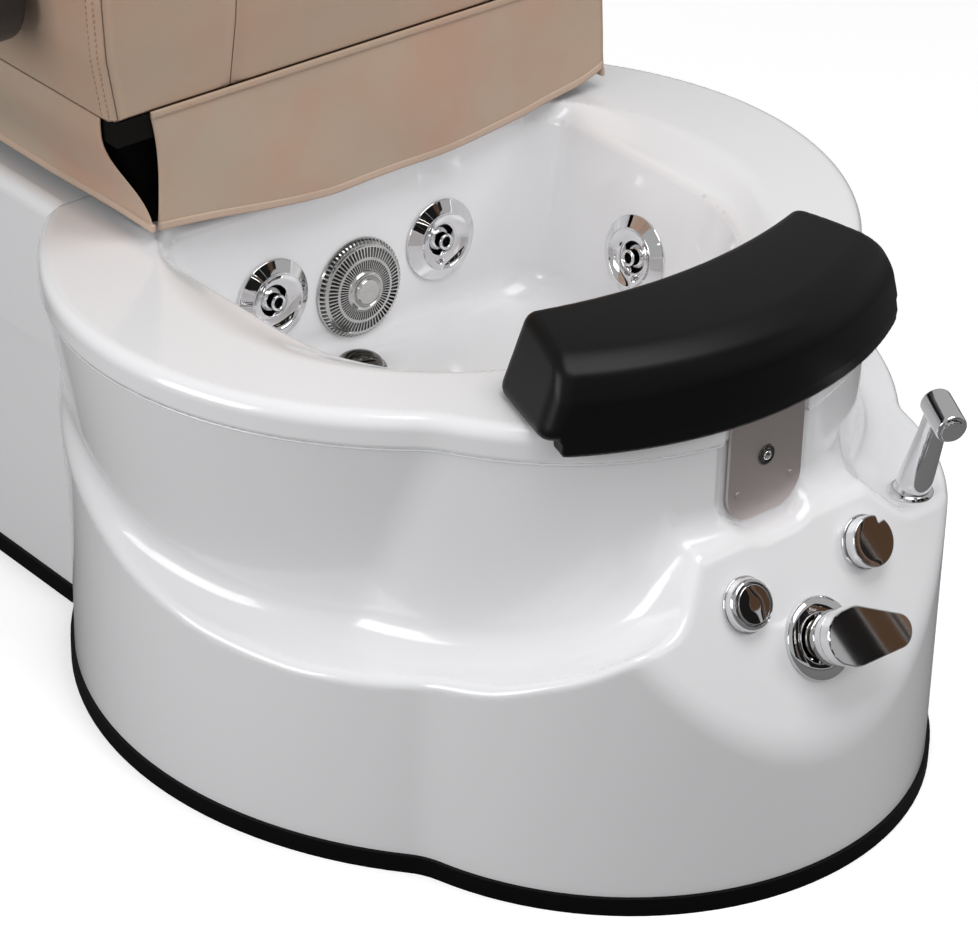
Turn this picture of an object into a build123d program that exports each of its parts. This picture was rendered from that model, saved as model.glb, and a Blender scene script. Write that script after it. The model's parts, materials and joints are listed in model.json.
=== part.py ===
from build123d import *
import math
import os

# Pedicure spa chair: a lobed foot tub with a basin, a footrest and a tap console in front,
# and a powered seat with back and armrests on a pedestal behind it.
# Millimetres, +Z up, the sitter faces -Y. The origin is on the floor under the middle of the
# whole chair; the tub is drawn about its own centre and moved back by SHIFT_Y at the end.

# ---- tub and rim ----
RIM_Z = 440.0                # top of the rim
RIM_LIP = 33.0               # height of the rolled lip
RIM_EDGE_R = 15.0            # rounding of the lip
RIM_HALF_W = 401.0
RIM_HALF_D = 359.0
RIM_Y = -7.0
RIM_FRONT_R = 288.0
RIM_FRONT_Y = -150.0
RIM_SKIN = 22.0              # solid depth of the rim above its hollow
RIM_WALL = 10.0
WALL_INSET_TOP = 5.0         # how far the outer wall stands in from the lip
WALL_INSET_LOW = 42.0
WALL_FRONT_IN = 4.0          # the front wall stays nearly upright
WALL_LOW_FRONT_R = RIM_FRONT_R - WALL_FRONT_IN
WALL_LOW_Z = 190.0
SHELL_T = 6.0                # moulded wall
SKIRT_IN = 8.0               # the foot stands in from the rim at the sides
SKIRT_SIDE_R = RIM_HALF_W - SKIRT_IN
SKIRT_SIDE_Y = -55.0
SKIRT_FRONT_R = 295.0
SKIRT_FRONT_Y = -254.0
PINCH_R = 70.0               # soft inside corner between the lobes
SKIRT_Z0 = 3.0
BREAK_Y = 240.0              # the tub ends and the pedestal begins here
# height of the skirt's sweeping shelf, front to back: (y, z)
SHELF = [(-570, 352), (-500, 287), (-450, 247), (-380, 216), (-300, 201), (-220, 196), (-120, 202),
         (-20, 218), (70, 246), (150, 274), (260, 300), (420, 312)]
# ---- console ----
FACE_ANGLE = 61.5            # steepness of the tap face
FACE_Y = -545.0
FACE_Z = 151.0
CONSOLE_TOP = 320.0
CONSOLE_LEFT = -168.0
CONSOLE_STEP_X = 132.0       # the hump ends here and the shower ledge begins
LEDGE_Z = 283.0
# ---- basin ----
BOWL_EDGE_Z = 427.0
BOWL_HALF_W = 245.0
BOWL_REAR_Y = 146.0
BOWL_JOIN_Y = -90.0
BOWL_FRONT_Y = -285.0
BOWL_FLOOR_Z = 243.0
FLOOR_HALF_W = 213.0
FLOOR_REAR_Y = 131.0
FLOOR_JOIN_Y = -85.0
FLOOR_FRONT_Y = -250.0
BOWL_CORNER_R = 45.0
BOWL_T = 6.0
BOWL_FOOT_R = 18.0
SLOPE_HALF_W = 306.0         # where the rim begins to dip towards the bowl
SLOPE_HALF_D = 262.0
SLOPE_Y = -30.0
# ---- strips ----
STRIP_H = 18.0
STRIP_T = 4.0
STRIP_LAP = 12.0
# ---- pedestal ----
PED_IN = 117.0               # the pedestal stands in from the rim at the sides
PED_HALF_W = RIM_HALF_W - PED_IN
PED_STEP = 12.0              # the pedestal is narrower below its crease
PED_LOW_HALF_W = PED_HALF_W - PED_STEP
PED_REAR_Y = 640.0
PED_CREASE_Z = 285.0
PED_CORNER_R = 70.0
PED_EDGE_R = 16.0
JOINT_GAP = 0.6
DOOR_W = 300.0
DOOR_LOW_Z = 60.0
DOOR_TOP_Z = 281.0           # just under the pedestal's crease
DOOR_T = 4.0
# ---- floor frame ----
FRAME_TUBE = 30.0
FRAME_LOW_Z = 20.0
FRAME_TOP_Z = 50.0
POST_X = 180.0
FRAME_FRONT_Y = -400.0
FRAME_REAR_Y = 610.0
FOOT_IN = 20.0               # the levelling feet stand in from the frame's ends
# ---- jets, suction and drain ----
JET_R = 42.0
JET_HOLE_R = 24.0
JET_SPREAD = 104.0
JET_Z = 327.0
SIDE_JET_Y = -14.0
SIDE_JET_Z = 330.0
JET_BALL_R = 13.0
JET_FIT = 0.05
SUCTION_R = 51.0
SUCTION_Z = 308.0
SUCTION_SLOTS = 24
DRAIN_X = -28.0              # the drain sits to one side of the suction cover
DRAIN_Y = 97.0
DRAIN_R = 26.5
STOPPER_R = 23.0
STOPPER_H = 15.0
# ---- footrest ----
PLATE_HALF_W = 44.0
PLATE_LOW_Z = 322.0
PLATE_TOP_Z = 424.0
PLATE_T = 3.0
PLATE_CORNER_R = 30.0
PLATE_BACK_Y = -430.0
LOCK_Z = 381.0
SCREW_X = 32.0
SCREW_Z = 351.0
SCREW_R = 2.6
SCREW_HEAD_R = 3.6
POST_W = 32.0
POST_D = 12.0
POST_Y = -404.0
HOLDER_T = 3.0
RUN_FIT = 0.08
HOLDER_FRONT = POST_Y - POST_D / 2 - RUN_FIT - HOLDER_T
PAD_OUTER_R = 379.0          # the pad's outer arc, about PAD_OUTER_Y, to PAD_OUTER_END
PAD_OUTER_Y = -68.0
PAD_OUTER_END = 32.4
PAD_INNER_R = 500.0          # and its inner arc
PAD_INNER_Y = 184.0
PAD_INNER_END = 19.3
PAD_CORNER_R = 14.0
PAD_TOP_Z = 513.0
PAD_SHOULDER = 14.0          # the top edge is rounded over this height
PAD_SLANT = 26.0             # how far the ends reach out further at the bottom
PAD_SKIRT_Z = 428.0
# ---- console fittings: x and distance up the face ----
BUTTON_AT = (-60.0, 138.0)
KNOB_AT = (86.0, 146.0)
MIXER_AT = (8.0, 83.0)
BEZEL_R = 24.5
COLLAR_R = 21.5
CAP_R = 18.0
ESCUTCHEON_R = 36.5
HUB_R = 25.0
HUB_PIN_H = 20.0             # the lever tilts on a pin this far out
LEVER_REACH = 72.0
LEVER_TIP_R = 16.0
LEVER_TURN = -14.0
SHOWER_X = 176.0
SHOWER_Y = -446.0
SHOWER_LEAN = 15.0
SHOWER_H = 103.0
HEAD_AIM = (-0.35, -0.85, -0.20)     # where the spray head points
# ---- seat ----
SEAT_FRONT_Y = 127.0
SEAT_HALF_W = 292.0
SEAT_DEPTH = 474.0
SEAT_LOW_Z = 570.0
SEAT_TOP_Z = 742.0
SEAT_BULGE = 27.0
APRON_T = 3.0
APRON_IN = 5.2               # the side aprons hang this far in from the seat's sides
APRON_BACK = 23.0            # and start this far back from its front
PAN_IN = 5.5                 # the seat board's side margin
# the front apron's sagging lower edge, left to right: (x, z)
APRON_HEM = [(-250, 453), (40, 430), (296, 465)]
SIDE_APRON_LOW_Z = 453.0
RAIL_X = 170.0
RAIL_W = 40.0
RAIL_H = 26.0
FRAME_Z = 500.0
SEAT_TUBE = 40.0             # square tube of the seat frame
SEAT_TUBE_Z = FRAME_Z + 5.0
PAN_GAP = 0.2                # between the seat frame and what rests on it
DRIVE_Z = 472.0
# ---- back and arms ----
HINGE_Y = 660.0
HINGE_Z = 600.0
BACK_LEAN = 14.0
BACK_IN = 10.0               # the back is a little narrower than the seat
BACK_HALF_W = SEAT_HALF_W - BACK_IN
BACK_H = 690.0
BACK_PLATE_T = 20.0
BACK_PLATE_IN = 46.0         # the board's margin at the sides of the back
BACK_PLATE_DROP = 50.0       # and below its top
BACK_PLATE_LOW = 70.0
BACK_ARM_X = 150.0           # inner face of the back's hinge arms
BACK_ARM_T = 20.0
HINGE_PLATE_X = 176.0        # inner face of the seat frame's hinge plates
HINGE_PLATE_T = 12.0
HINGE_PIN_R = 10.0
ARM_GAP = 8.0                # between the arms and the widest part of the seat
ARM_W = 72.0
ARM_X0 = SEAT_HALF_W + SEAT_BULGE + ARM_GAP
ARM_X1 = ARM_X0 + ARM_W
ARM_FRONT_Y = 200.0
ARM_REAR_Y = 590.0
ARM_LOW_Z = 627.0
ARM_TOP_Z = 868.0
ARM_PAD_T = 34.0
ARM_PIVOT_Y = 545.0
ARM_PIVOT_Z = 700.0

FACE = Plane(
    origin=(0, FACE_Y, FACE_Z),
    x_dir=(1, 0, 0),
    z_dir=(0, -math.sin(math.radians(FACE_ANGLE)), math.cos(math.radians(FACE_ANGLE))),
)


def span(x0, x1, y0, y1, z0, z1):
    """A block between two corners."""
    block = Box(abs(x1 - x0), abs(y1 - y0), abs(z1 - z0))
    return Pos((x0 + x1) / 2, (y0 + y1) / 2, (z0 + z1) / 2) * block


def rod(radius, start, end):
    """A round bar from one point to another."""
    a = Vector(*start)
    b = Vector(*end)
    plane = Plane(origin=a, z_dir=(b - a).normalized())
    return extrude(plane * Circle(radius), amount=(b - a).length)


def turned(points, where=Location((0, 0, 0))):
    """A turned piece: (radius, height) points spun about the local Z axis."""
    outline = make_face(Polyline(*points, close=True))
    return where * revolve(Plane.XZ * outline, axis=Axis.Z, revolution_arc=360)


def lobed(side_w, side_d, side_y, front_r, front_y, blend=PINCH_R):
    """A wide rear oval and a round front lobe, with a soft pinch between them."""
    flat = Pos(0, side_y) * Ellipse(side_w, side_d) + Pos(0, front_y) * Circle(front_r)
    corners = [v for v in flat.vertices() if abs(v.X) > 100 and v.Y < front_y + 40]
    return fillet(corners, blend)


def rim_plan(inset):
    """The rim's outline, moved inwards."""
    return lobed(RIM_HALF_W - inset, RIM_HALF_D - inset, RIM_Y, RIM_FRONT_R - inset, RIM_FRONT_Y)


def skirt_plan(inset):
    """The foot outline of the tub, moved inwards: two circles joined by tangent arcs."""
    rear_r = SKIRT_SIDE_R - inset
    front_r = SKIRT_FRONT_R - inset
    bend = PINCH_R + inset
    rear_reach = rear_r + bend
    front_reach = front_r + bend
    y = (front_reach**2 - rear_reach**2 + SKIRT_SIDE_Y**2 - SKIRT_FRONT_Y**2)
    y = y / (2 * (SKIRT_SIDE_Y - SKIRT_FRONT_Y))
    centre = Vector(math.sqrt(rear_reach**2 - (y - SKIRT_SIDE_Y)**2), y)
    to_rear = (Vector(0, SKIRT_SIDE_Y) - centre).normalized()
    to_front = (Vector(0, SKIRT_FRONT_Y) - centre).normalized()
    rear_end = centre + to_rear * bend
    front_end = centre + to_front * bend
    middle = centre + (to_rear + to_front).normalized() * bend

    def other(point):
        return Vector(-point.X, point.Y)
    return make_face([
        ThreePointArc(rear_end, (0, SKIRT_SIDE_Y + rear_r), other(rear_end)),
        ThreePointArc(other(rear_end), other(middle), other(front_end)),
        ThreePointArc(other(front_end), (0, SKIRT_FRONT_Y - front_r), front_end),
        ThreePointArc(front_end, middle, rear_end),
    ])


def rise(flat, z0, z1):
    """A flat outline pulled up between two heights."""
    return extrude(Pos(0, 0, z0) * flat, amount=z1 - z0)


def under_shelf(drop):
    """Everything below the sweeping shelf, lowered by drop."""
    line = Spline(*[(y, z - drop) for y, z in SHELF])
    side = Polyline(line @ 1, (SHELF[-1][0], -20), (SHELF[0][0], -20), line @ 0)
    return extrude(Plane.YZ * make_face([line, side]), amount=SKIRT_SIDE_R + 60, both=True)


def under_face(drop):
    """Everything behind the tap face, moved back by drop."""
    block = Box(1200, 1600, 900, align=(Align.CENTER, Align.CENTER, Align.MAX))
    return FACE.location * Pos(0, 0, -drop) * block


def wall_loft(inset, z0, z1):
    """The upper wall, which draws in towards the shelf."""
    top = Pos(0, 0, z1) * rim_plan(WALL_INSET_TOP + inset)
    low_w = RIM_HALF_W - WALL_INSET_LOW - inset
    low_d = RIM_HALF_D - WALL_INSET_LOW - inset
    low = lobed(low_w, low_d, RIM_Y, WALL_LOW_FRONT_R - inset, RIM_FRONT_Y)
    return loft([Pos(0, 0, z0) * low, top], ruled=True)


def console_block(inset):
    """The hump that carries the taps, with the lower ledge for the hand shower."""
    top = CONSOLE_TOP - inset
    ledge = LEDGE_Z - inset
    left = CONSOLE_LEFT + inset
    step = CONSOLE_STEP_X - inset
    front = [
        (left, 20), (left, 252), (left + 18, top - 22), (left + 66, top),
        (step - 22, top), (step + 14, ledge), (300, ledge), (300, 20),
    ]
    hump = extrude(Plane.XZ * make_face(Polyline(*front, close=True)), amount=600)
    lobe = rise(Pos(0, SKIRT_FRONT_Y) * Circle(SKIRT_FRONT_R - 2 - inset), 20, CONSOLE_TOP)
    room = span(-400, 400, -600, -330, 0, 400)
    return hump & lobe & room & under_face(inset)


def tub_shell():
    skirt = rise(skirt_plan(0), SKIRT_Z0, 400) & under_shelf(0)
    skirt = skirt & under_face(0)
    wall = wall_loft(0, WALL_LOW_Z, RIM_Z - RIM_LIP)
    body = skirt + wall + console_block(0)
    inner = (rise(skirt_plan(SHELL_T), -10, 400) & under_shelf(SHELL_T)) & under_face(SHELL_T)
    hollow = inner + wall_loft(SHELL_T, WALL_LOW_Z - 30, RIM_Z - RIM_LIP + 1)
    body = body - hollow - console_block(SHELL_T)
    body = body & span(-500, 500, -700, BREAK_Y, 0, 500)
    body = body - span(-PLATE_HALF_W - 4, PLATE_HALF_W + 4, -520, PLATE_BACK_Y, PLATE_LOW_Z - 3, RIM_Z)
    body = body - rod(11, (0, -470, LOCK_Z), (0, -400, LOCK_Z))
    for x, s, r in fitting_holes():
        body = body - (FACE.location * Pos(x, s, -30) * Cylinder(r, 60))
    body = body - rod(15.5, (SHOWER_X, SHOWER_Y, LEDGE_Z - 30), (SHOWER_X, SHOWER_Y, LEDGE_Z + 5))
    for x in (-SCREW_X, SCREW_X):
        body = body - rod(SCREW_R, (x, -470, SCREW_Z), (x, -400, SCREW_Z))
    return body


def fitting_holes():
    """Centre and radius of each bore through the tap face."""
    return [(*BUTTON_AT, 12.0), (*KNOB_AT, 12.0), (*MIXER_AT, 21.0)]


def bowl_plan(w, rear, join, front, r):
    """Straight back wall and sides, round front."""
    outline = Polyline((w, join), (w, rear), (-w, rear), (-w, join))
    arc = ThreePointArc((-w, join), (0, front), (w, join))
    flat = make_face([outline, arc])
    corners = [v for v in flat.vertices() if v.Y > rear - 1]
    return fillet(corners, r)


def bowl_loft(grow, z_top, z_low):
    """The bowl's volume between two heights, grown outwards by its wall."""
    def at(z):
        t = (z - BOWL_FLOOR_Z) / (BOWL_EDGE_Z - BOWL_FLOOR_Z)
        w = FLOOR_HALF_W + t * (BOWL_HALF_W - FLOOR_HALF_W) + grow
        rear = FLOOR_REAR_Y + t * (BOWL_REAR_Y - FLOOR_REAR_Y) + grow
        join = FLOOR_JOIN_Y + t * (BOWL_JOIN_Y - FLOOR_JOIN_Y)
        front = FLOOR_FRONT_Y + t * (BOWL_FRONT_Y - FLOOR_FRONT_Y) - grow
        return Pos(0, 0, z) * bowl_plan(w, rear, join, front, BOWL_CORNER_R)
    return loft([at(z_low), at(z_top)], ruled=True)


def basin():
    slab = rise(rim_plan(0), RIM_Z - RIM_LIP, RIM_Z)
    slab = fillet(slab.edges().group_by(Axis.Z)[-1], RIM_EDGE_R)
    slab = slab - rise(rim_plan(RIM_WALL), RIM_Z - RIM_LIP - 1, RIM_Z - RIM_SKIN)
    slab = slab & span(-500, 500, -700, BREAK_Y, 0, 500)
    bowl = bowl_loft(BOWL_T, RIM_Z - RIM_SKIN + 1, BOWL_FLOOR_Z - BOWL_T)
    bowl = fillet(bowl.edges().group_by(Axis.Z)[0], BOWL_FOOT_R)
    cavity = bowl_loft(0, BOWL_EDGE_Z + 30, BOWL_FLOOR_Z)
    cavity = fillet(cavity.edges().group_by(Axis.Z)[0], BOWL_FOOT_R - BOWL_T)
    dip_low = Pos(0, 0, BOWL_EDGE_Z) * bowl_plan(
        BOWL_HALF_W, BOWL_REAR_Y, BOWL_JOIN_Y, BOWL_FRONT_Y, BOWL_CORNER_R)
    dip_top = Pos(0, 0, RIM_Z) * bowl_plan(
        SLOPE_HALF_W, BOWL_REAR_Y + 40, BOWL_JOIN_Y, SLOPE_Y - SLOPE_HALF_D, BOWL_CORNER_R + 40)
    dip = loft([dip_low, dip_top], ruled=True)
    body = slab + bowl - cavity - dip
    for seat in jet_seats():
        body = body - (seat * Cylinder(JET_HOLE_R, 60))
    body = body - (suction_seat() * Cylinder(30, 60))
    body = body - Pos(DRAIN_X, DRAIN_Y, BOWL_FLOOR_Z) * Cylinder(STOPPER_R - 4, 60)
    body = body - span(-PLATE_HALF_W - 4, PLATE_HALF_W + 4, -520, PLATE_BACK_Y, 400, PLATE_TOP_Z + 2)
    w = POST_W / 2 + HOLDER_T + 0.3
    d = POST_D / 2 + HOLDER_T + 0.3
    body = body - span(-w, w, POST_Y - d, POST_Y + d, 300, 500)
    return body


def wall_angle():
    """Lean of the bowl's back wall."""
    return math.atan2(BOWL_REAR_Y - FLOOR_REAR_Y, BOWL_EDGE_Z - BOWL_FLOOR_Z)


def rear_wall_y(z):
    t = (z - BOWL_FLOOR_Z) / (BOWL_EDGE_Z - BOWL_FLOOR_Z)
    return FLOOR_REAR_Y + t * (BOWL_REAR_Y - FLOOR_REAR_Y)


def side_wall_x(z):
    t = (z - BOWL_FLOOR_Z) / (BOWL_EDGE_Z - BOWL_FLOOR_Z)
    return FLOOR_HALF_W + t * (BOWL_HALF_W - FLOOR_HALF_W)


def jet_seats():
    """Seat of each jet: two on the back wall and one on each side wall, facing the bowl."""
    lean = wall_angle()
    side_lean = math.atan2(BOWL_HALF_W - FLOOR_HALF_W, BOWL_EDGE_Z - BOWL_FLOOR_Z)
    planes = []
    for side in (-1, 1):
        planes.append(Plane(
            origin=(side * JET_SPREAD, rear_wall_y(JET_Z), JET_Z),
            x_dir=(1, 0, 0),
            z_dir=(0, -math.cos(lean), math.sin(lean))).location)
    for side in (-1, 1):
        planes.append(Plane(
            origin=(side * side_wall_x(SIDE_JET_Z), SIDE_JET_Y, SIDE_JET_Z),
            x_dir=(0, side, 0),
            z_dir=(-side * math.cos(side_lean), 0, math.sin(side_lean))).location)
    return planes


def suction_seat():
    lean = wall_angle()
    return Plane(
        origin=(0, rear_wall_y(SUCTION_Z), SUCTION_Z),
        x_dir=(1, 0, 0),
        z_dir=(0, -math.cos(lean), math.sin(lean))).location


def jet_face(seat):
    """Polished ring with a dished front and a ball seat."""
    r = JET_BALL_R + JET_FIT
    ring = turned([(18, -16), (JET_HOLE_R - 0.5, -16), (JET_HOLE_R - 0.5, 0.3), (JET_R, 0.3),
                   (JET_R, 2), (JET_R - 8, 7), (22, 3), (16, -4), (8, -10), (8, -16)], seat)
    return ring - seat * Pos(0, 0, -6) * Sphere(r)


def jet_nozzle(seat):
    """Ball nozzle with its bore."""
    ball = Pos(0, 0, -6) * Sphere(JET_BALL_R)
    trimmed = ball & Pos(0, 0, -3) * Cylinder(JET_BALL_R + 1, 18)
    spout = Pos(0, 0, 4) * Cylinder(8, 10)
    bore = Pos(0, 0, -6) * Cylinder(4.5, 60)
    return seat * (trimmed + spout - bore)


def jet_body(seat):
    """Fitting behind the wall with its clamp nut and inlet stub."""
    nut = turned([(JET_HOLE_R, -14 - 2), (JET_HOLE_R + 10, -16), (JET_HOLE_R + 10, -6.3 - 0.3),
                  (JET_HOLE_R, -6.6)], seat)
    cup = turned([(0, -44), (JET_HOLE_R + 2, -44), (JET_HOLE_R + 2, -16), (17, -16), (17, -38),
                  (0, -38)], seat)
    return nut + cup


def suction_cover():
    """Slotted safety cover with its hub."""
    seat = suction_seat()
    cover = turned([(0, 0.3), (SUCTION_R, 0.3), (SUCTION_R, 4), (SUCTION_R - 6, 10), (20, 14),
                    (17, 14), (17, 16), (14, 19), (0, 19)], seat)
    cover = cover - turned([(0, -1), (SUCTION_R - 5, -1), (SUCTION_R - 8, 7), (22, 11), (0, 11)],
                           seat)
    cuts = []
    for k in range(SUCTION_SLOTS):
        turn = Rot(0, 0, k * 360 / SUCTION_SLOTS)
        cuts.append(seat * turn * Pos(33, 0, 8) * Box(16, 1.8, 12))
    return cover - Compound(children=cuts)


def suction_body():
    seat = suction_seat()
    return turned([(0, -50), (34, -50), (34, -16.5), (44, -16.5), (44, -6.6), (29.5, -6.6),
                   (29.5, 0), (25, 0), (25, -44), (0, -44)], seat)


def drain_flange():
    """Chrome flange with its threaded tube and a three-armed stem guide."""
    seat = Pos(DRAIN_X, DRAIN_Y, BOWL_FLOOR_Z)
    tube_r = STOPPER_R - 4.3
    bore_r = tube_r - 5
    flange = turned([(tube_r, 0.2), (DRAIN_R, 0.2), (DRAIN_R, 3), (bore_r, 3), (bore_r, -40),
                     (tube_r, -40)], seat)
    guide = Pos(0, 0, -28) * Cylinder(7, 4)
    for turn in (0, 120, 240):
        guide = guide + Rot(0, 0, turn) * Pos(bore_r / 2 + 0.5, 0, -28) * Box(bore_r + 1, 3, 4)
    return flange + seat * (guide - Cylinder(4 + RUN_FIT, 90))


def drain_stopper():
    """Domed stopper on its stem."""
    seat = Pos(DRAIN_X, DRAIN_Y, BOWL_FLOOR_Z)
    cap = turned([(0, 3.2), (STOPPER_R, 3.2), (STOPPER_R, 6), (STOPPER_R - 6, STOPPER_H - 1),
                  (8, STOPPER_H + 2), (0, STOPPER_H + 2)], seat)
    stem = seat * Pos(0, 0, -14) * Cylinder(4, 35)
    return cap + stem


def drain_tail():
    """Clamp nut under the bowl with the waste pipe."""
    seat = Pos(DRAIN_X, DRAIN_Y, BOWL_FLOOR_Z)
    tube_r = STOPPER_R - 4.3
    return turned([
        (tube_r, -BOWL_T - 0.3), (tube_r + 12, -BOWL_T - 0.3), (tube_r + 12, -46),
        (tube_r, -46), (tube_r, -120), (tube_r - 5, -120), (tube_r - 5, -40.3), (tube_r, -40.3)],
        seat)


def kick_strip(outer, seat, opening):
    """Black edging round a foot, wrapped under the moulding."""
    band = rise(outer, 0, STRIP_H) - rise(seat, SKIRT_Z0, STRIP_H + 1)
    return band - rise(opening, -1, STRIP_H)


def tub_kick_strip():
    band = kick_strip(skirt_plan(-STRIP_T), skirt_plan(0), skirt_plan(STRIP_LAP))
    return band & span(-600, 600, -700, BREAK_Y, -1, 60)


def pedestal_kick_strip():
    outer = ped_plan(PED_LOW_HALF_W, -STRIP_T)
    band = kick_strip(outer, ped_plan(PED_LOW_HALF_W), ped_plan(PED_LOW_HALF_W, STRIP_LAP))
    return band & span(-600, 600, BREAK_Y + JOINT_GAP, 900, -1, 60)


def ped_plan(half_w, inset=0.0):
    """Pedestal outline with round rear corners."""
    w = half_w - inset
    rear = PED_REAR_Y - inset
    front = BREAK_Y + JOINT_GAP
    flat = Pos(0, (rear + front) / 2) * Rectangle(2 * w, rear - front)
    corners = [v for v in flat.vertices() if v.Y > rear - 1]
    return fillet(corners, PED_CORNER_R)


def pedestal_shell():
    low = rise(ped_plan(PED_LOW_HALF_W), SKIRT_Z0, PED_CREASE_Z)
    high = rise(ped_plan(PED_HALF_W), PED_CREASE_Z, RIM_Z)
    top_edges = high.edges().group_by(Axis.Z)[-1].filter_by(lambda e: e.center().Y > BREAK_Y + 5)
    high = fillet(top_edges, PED_EDGE_R)
    body = low + high
    body = body - rise(ped_plan(PED_LOW_HALF_W, SHELL_T), -5, RIM_Z - SHELL_T)
    body = body - span(-200, 200, BREAK_Y - 5, BREAK_Y + 20, -5, RIM_Z - 60)
    half = DOOR_W / 2 + 1
    return body - span(-half, half, PED_REAR_Y - 30, PED_REAR_Y + 40, DOOR_LOW_Z, DOOR_TOP_Z)


def service_panel():
    """Lift-off cover over the pump, set in the rear opening."""
    top = DOOR_TOP_Z
    y1 = PED_REAR_Y
    low = DOOR_LOW_Z + 1
    panel = span(-DOOR_W / 2, DOOR_W / 2, y1 - DOOR_T, y1, low, top - 1)
    flange = span(-DOOR_W / 2 - 12, DOOR_W / 2 + 12, y1 - SHELL_T - DOOR_T, y1 - SHELL_T - 0.3,
                  low - 13, top + 2)
    neck = span(-DOOR_W / 2, DOOR_W / 2, y1 - SHELL_T - 1, y1 - 1, low, top - 1)
    return panel + neck + flange


def service_panel_screws():
    top = DOOR_TOP_Z
    screws = []
    for x in (-DOOR_W / 2 + 15, DOOR_W / 2 - 15):
        for z in (76, top - 16):
            screws.append(rod(5, (x, PED_REAR_Y, z), (x, PED_REAR_Y + 2.5, z)))
    return screws


def on_face(at):
    """A place on the tap face, local Z pointing out of it."""
    return FACE.location * Pos(at[0], at[1], 0)


def push_button_bezel():
    """Flanged collar with a threaded barrel through the console."""
    return turned([
        (4 + RUN_FIT, -34), (11.5, -34), (11.5, 0.3), (BEZEL_R, 0.3), (BEZEL_R, 1.5),
        (BEZEL_R - 2, 3.2), (COLLAR_R, 3.2), (COLLAR_R, 10), (COLLAR_R - 2, 12),
        (CAP_R + RUN_FIT, 12), (CAP_R + RUN_FIT, 1), (4 + RUN_FIT, 1)], on_face(BUTTON_AT))


def push_button_cap():
    return turned([
        (0, -38), (4, -38), (4, 6), (CAP_R, 6), (CAP_R, 11), (CAP_R - 2, 13), (0, 13)],
        on_face(BUTTON_AT))


def diverter_base():
    return turned([
        (5 + RUN_FIT, -34), (11.5, -34), (11.5, 0.3), (BEZEL_R - 1, 0.3), (BEZEL_R - 1, 2),
        (BEZEL_R - 3, 4), (5 + RUN_FIT, 4)], on_face(KNOB_AT))


def diverter_knob():
    """Round knob with one notch in its edge as the pointer."""
    knob = turned([(0, -38), (5, -38), (5, 4.3), (COLLAR_R, 4.3), (COLLAR_R, 15),
                   (COLLAR_R - 2.5, 17), (0, 17)])
    notch = Rot(0, 0, 52) * Pos(COLLAR_R + 1, 0, 14) * Rot(0, 0, 45) * Box(9, 9, 24)
    return on_face(KNOB_AT) * (knob - notch)


def console_nuts():
    """Clamp nuts behind the console, one on each threaded barrel."""
    nuts = []
    for at in (BUTTON_AT, KNOB_AT):
        ring = extrude(RegularPolygon(17, 6) - Circle(11.5), amount=8)
        nuts.append(on_face(at) * Pos(0, 0, -SHELL_T - 8.3) * ring)
    return nuts


def mixer_escutcheon():
    r = ESCUTCHEON_R
    return turned([(21.4, 0.3), (r, 0.3), (r, 2), (r - 1, 4), (r - 4, 6.5), (r - 8, 8), (21.4, 8.8)],
                  on_face(MIXER_AT))


def mixer_valve():
    """Cartridge housing behind the console with its two inlet stubs and the outlet."""
    valve = turned([(0, -60), (20, -60), (20, -6), (20.9, -6), (20.9, 8), (14, 8), (14, 2), (0, 2)])
    for turn in (90, 210, 330):
        valve = valve + Rot(0, 0, turn) * Pos(26, 0, -44) * Rot(0, 90, 0) * Cylinder(9, 20)
    return on_face(MIXER_AT) * valve


def mixer_collar():
    """Turning collar on the cartridge, with the lever's pin."""
    collar = turned([(0, 2.2), (13.9, 2.2), (13.9, 8.3), (20, 8.3), (20, 22), (16, 27), (0, 27)])
    pin = Pos(0, 0, HUB_PIN_H) * Rot(90, 0, 0) * Cylinder(3, 2 * HUB_R - 2)
    return lever_place() * (collar + pin)


def lever_place():
    return on_face(MIXER_AT) * Rot(0, 0, LEVER_TURN)


def mixer_lever():
    """Cup over the collar with a flat teardrop handle."""
    cup = Pos(0, 0, 18) * Cylinder(HUB_R, 12.5, align=(Align.CENTER, Align.CENTER, Align.MIN))
    round_end = Pos(LEVER_REACH - LEVER_TIP_R, 0) * Circle(LEVER_TIP_R)
    drop = make_hull((Circle(HUB_R) + Pos(8, 0) * Circle(HUB_R + 2) + round_end).edges())
    blade = Pos(0, 0, 30) * extrude(drop, amount=13)
    under = Pos(HUB_R + 45, 0, 28) * Rot(0, -8, 0) * Box(80, 80, 12)
    room = turned([(0, 0), (22.6, 0), (22.6, 29), (17, 34), (0, 34)])
    bore = Pos(0, 0, HUB_PIN_H) * Rot(90, 0, 0) * Cylinder(3 + JET_FIT, 2 * HUB_R + 4)
    return lever_place() * (cup + blade - under - room - bore)


def shower_axis():
    """The seat of the hand shower, local Z along its leaning handle."""
    return Pos(SHOWER_X, SHOWER_Y, LEDGE_Z) * Rot(SHOWER_LEAN, 0, 0)


def shower_flange():
    base = Pos(SHOWER_X, SHOWER_Y, LEDGE_Z) * turned([
        (0, 0.3), (20.5, 0.3), (20.5, 2.5), (17, 5), (14, 7), (0, 7)])
    sleeve = shower_axis() * Pos(0, 0, -9) * Cylinder(12.5, 42)
    bore = shower_axis() * Cylinder(9 + RUN_FIT, 90)
    return base + sleeve - bore


def shower_handle():
    """Faceted, waisted handle with its round plug."""
    plug = Pos(0, 0, -8) * Cylinder(9, 44)
    sections = [(12.3, 13.5), (30, 13.5), (62, 12), (SHOWER_H - 14, 12.5)]
    levels = [Pos(0, 0, z) * RegularPolygon(r, 8) for z, r in sections]
    return shower_axis() * (plug + loft(levels, ruled=True))


def head_place():
    top = shower_axis() * Pos(0, 0, SHOWER_H)
    return Plane(origin=top.position, z_dir=HEAD_AIM).location


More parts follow.
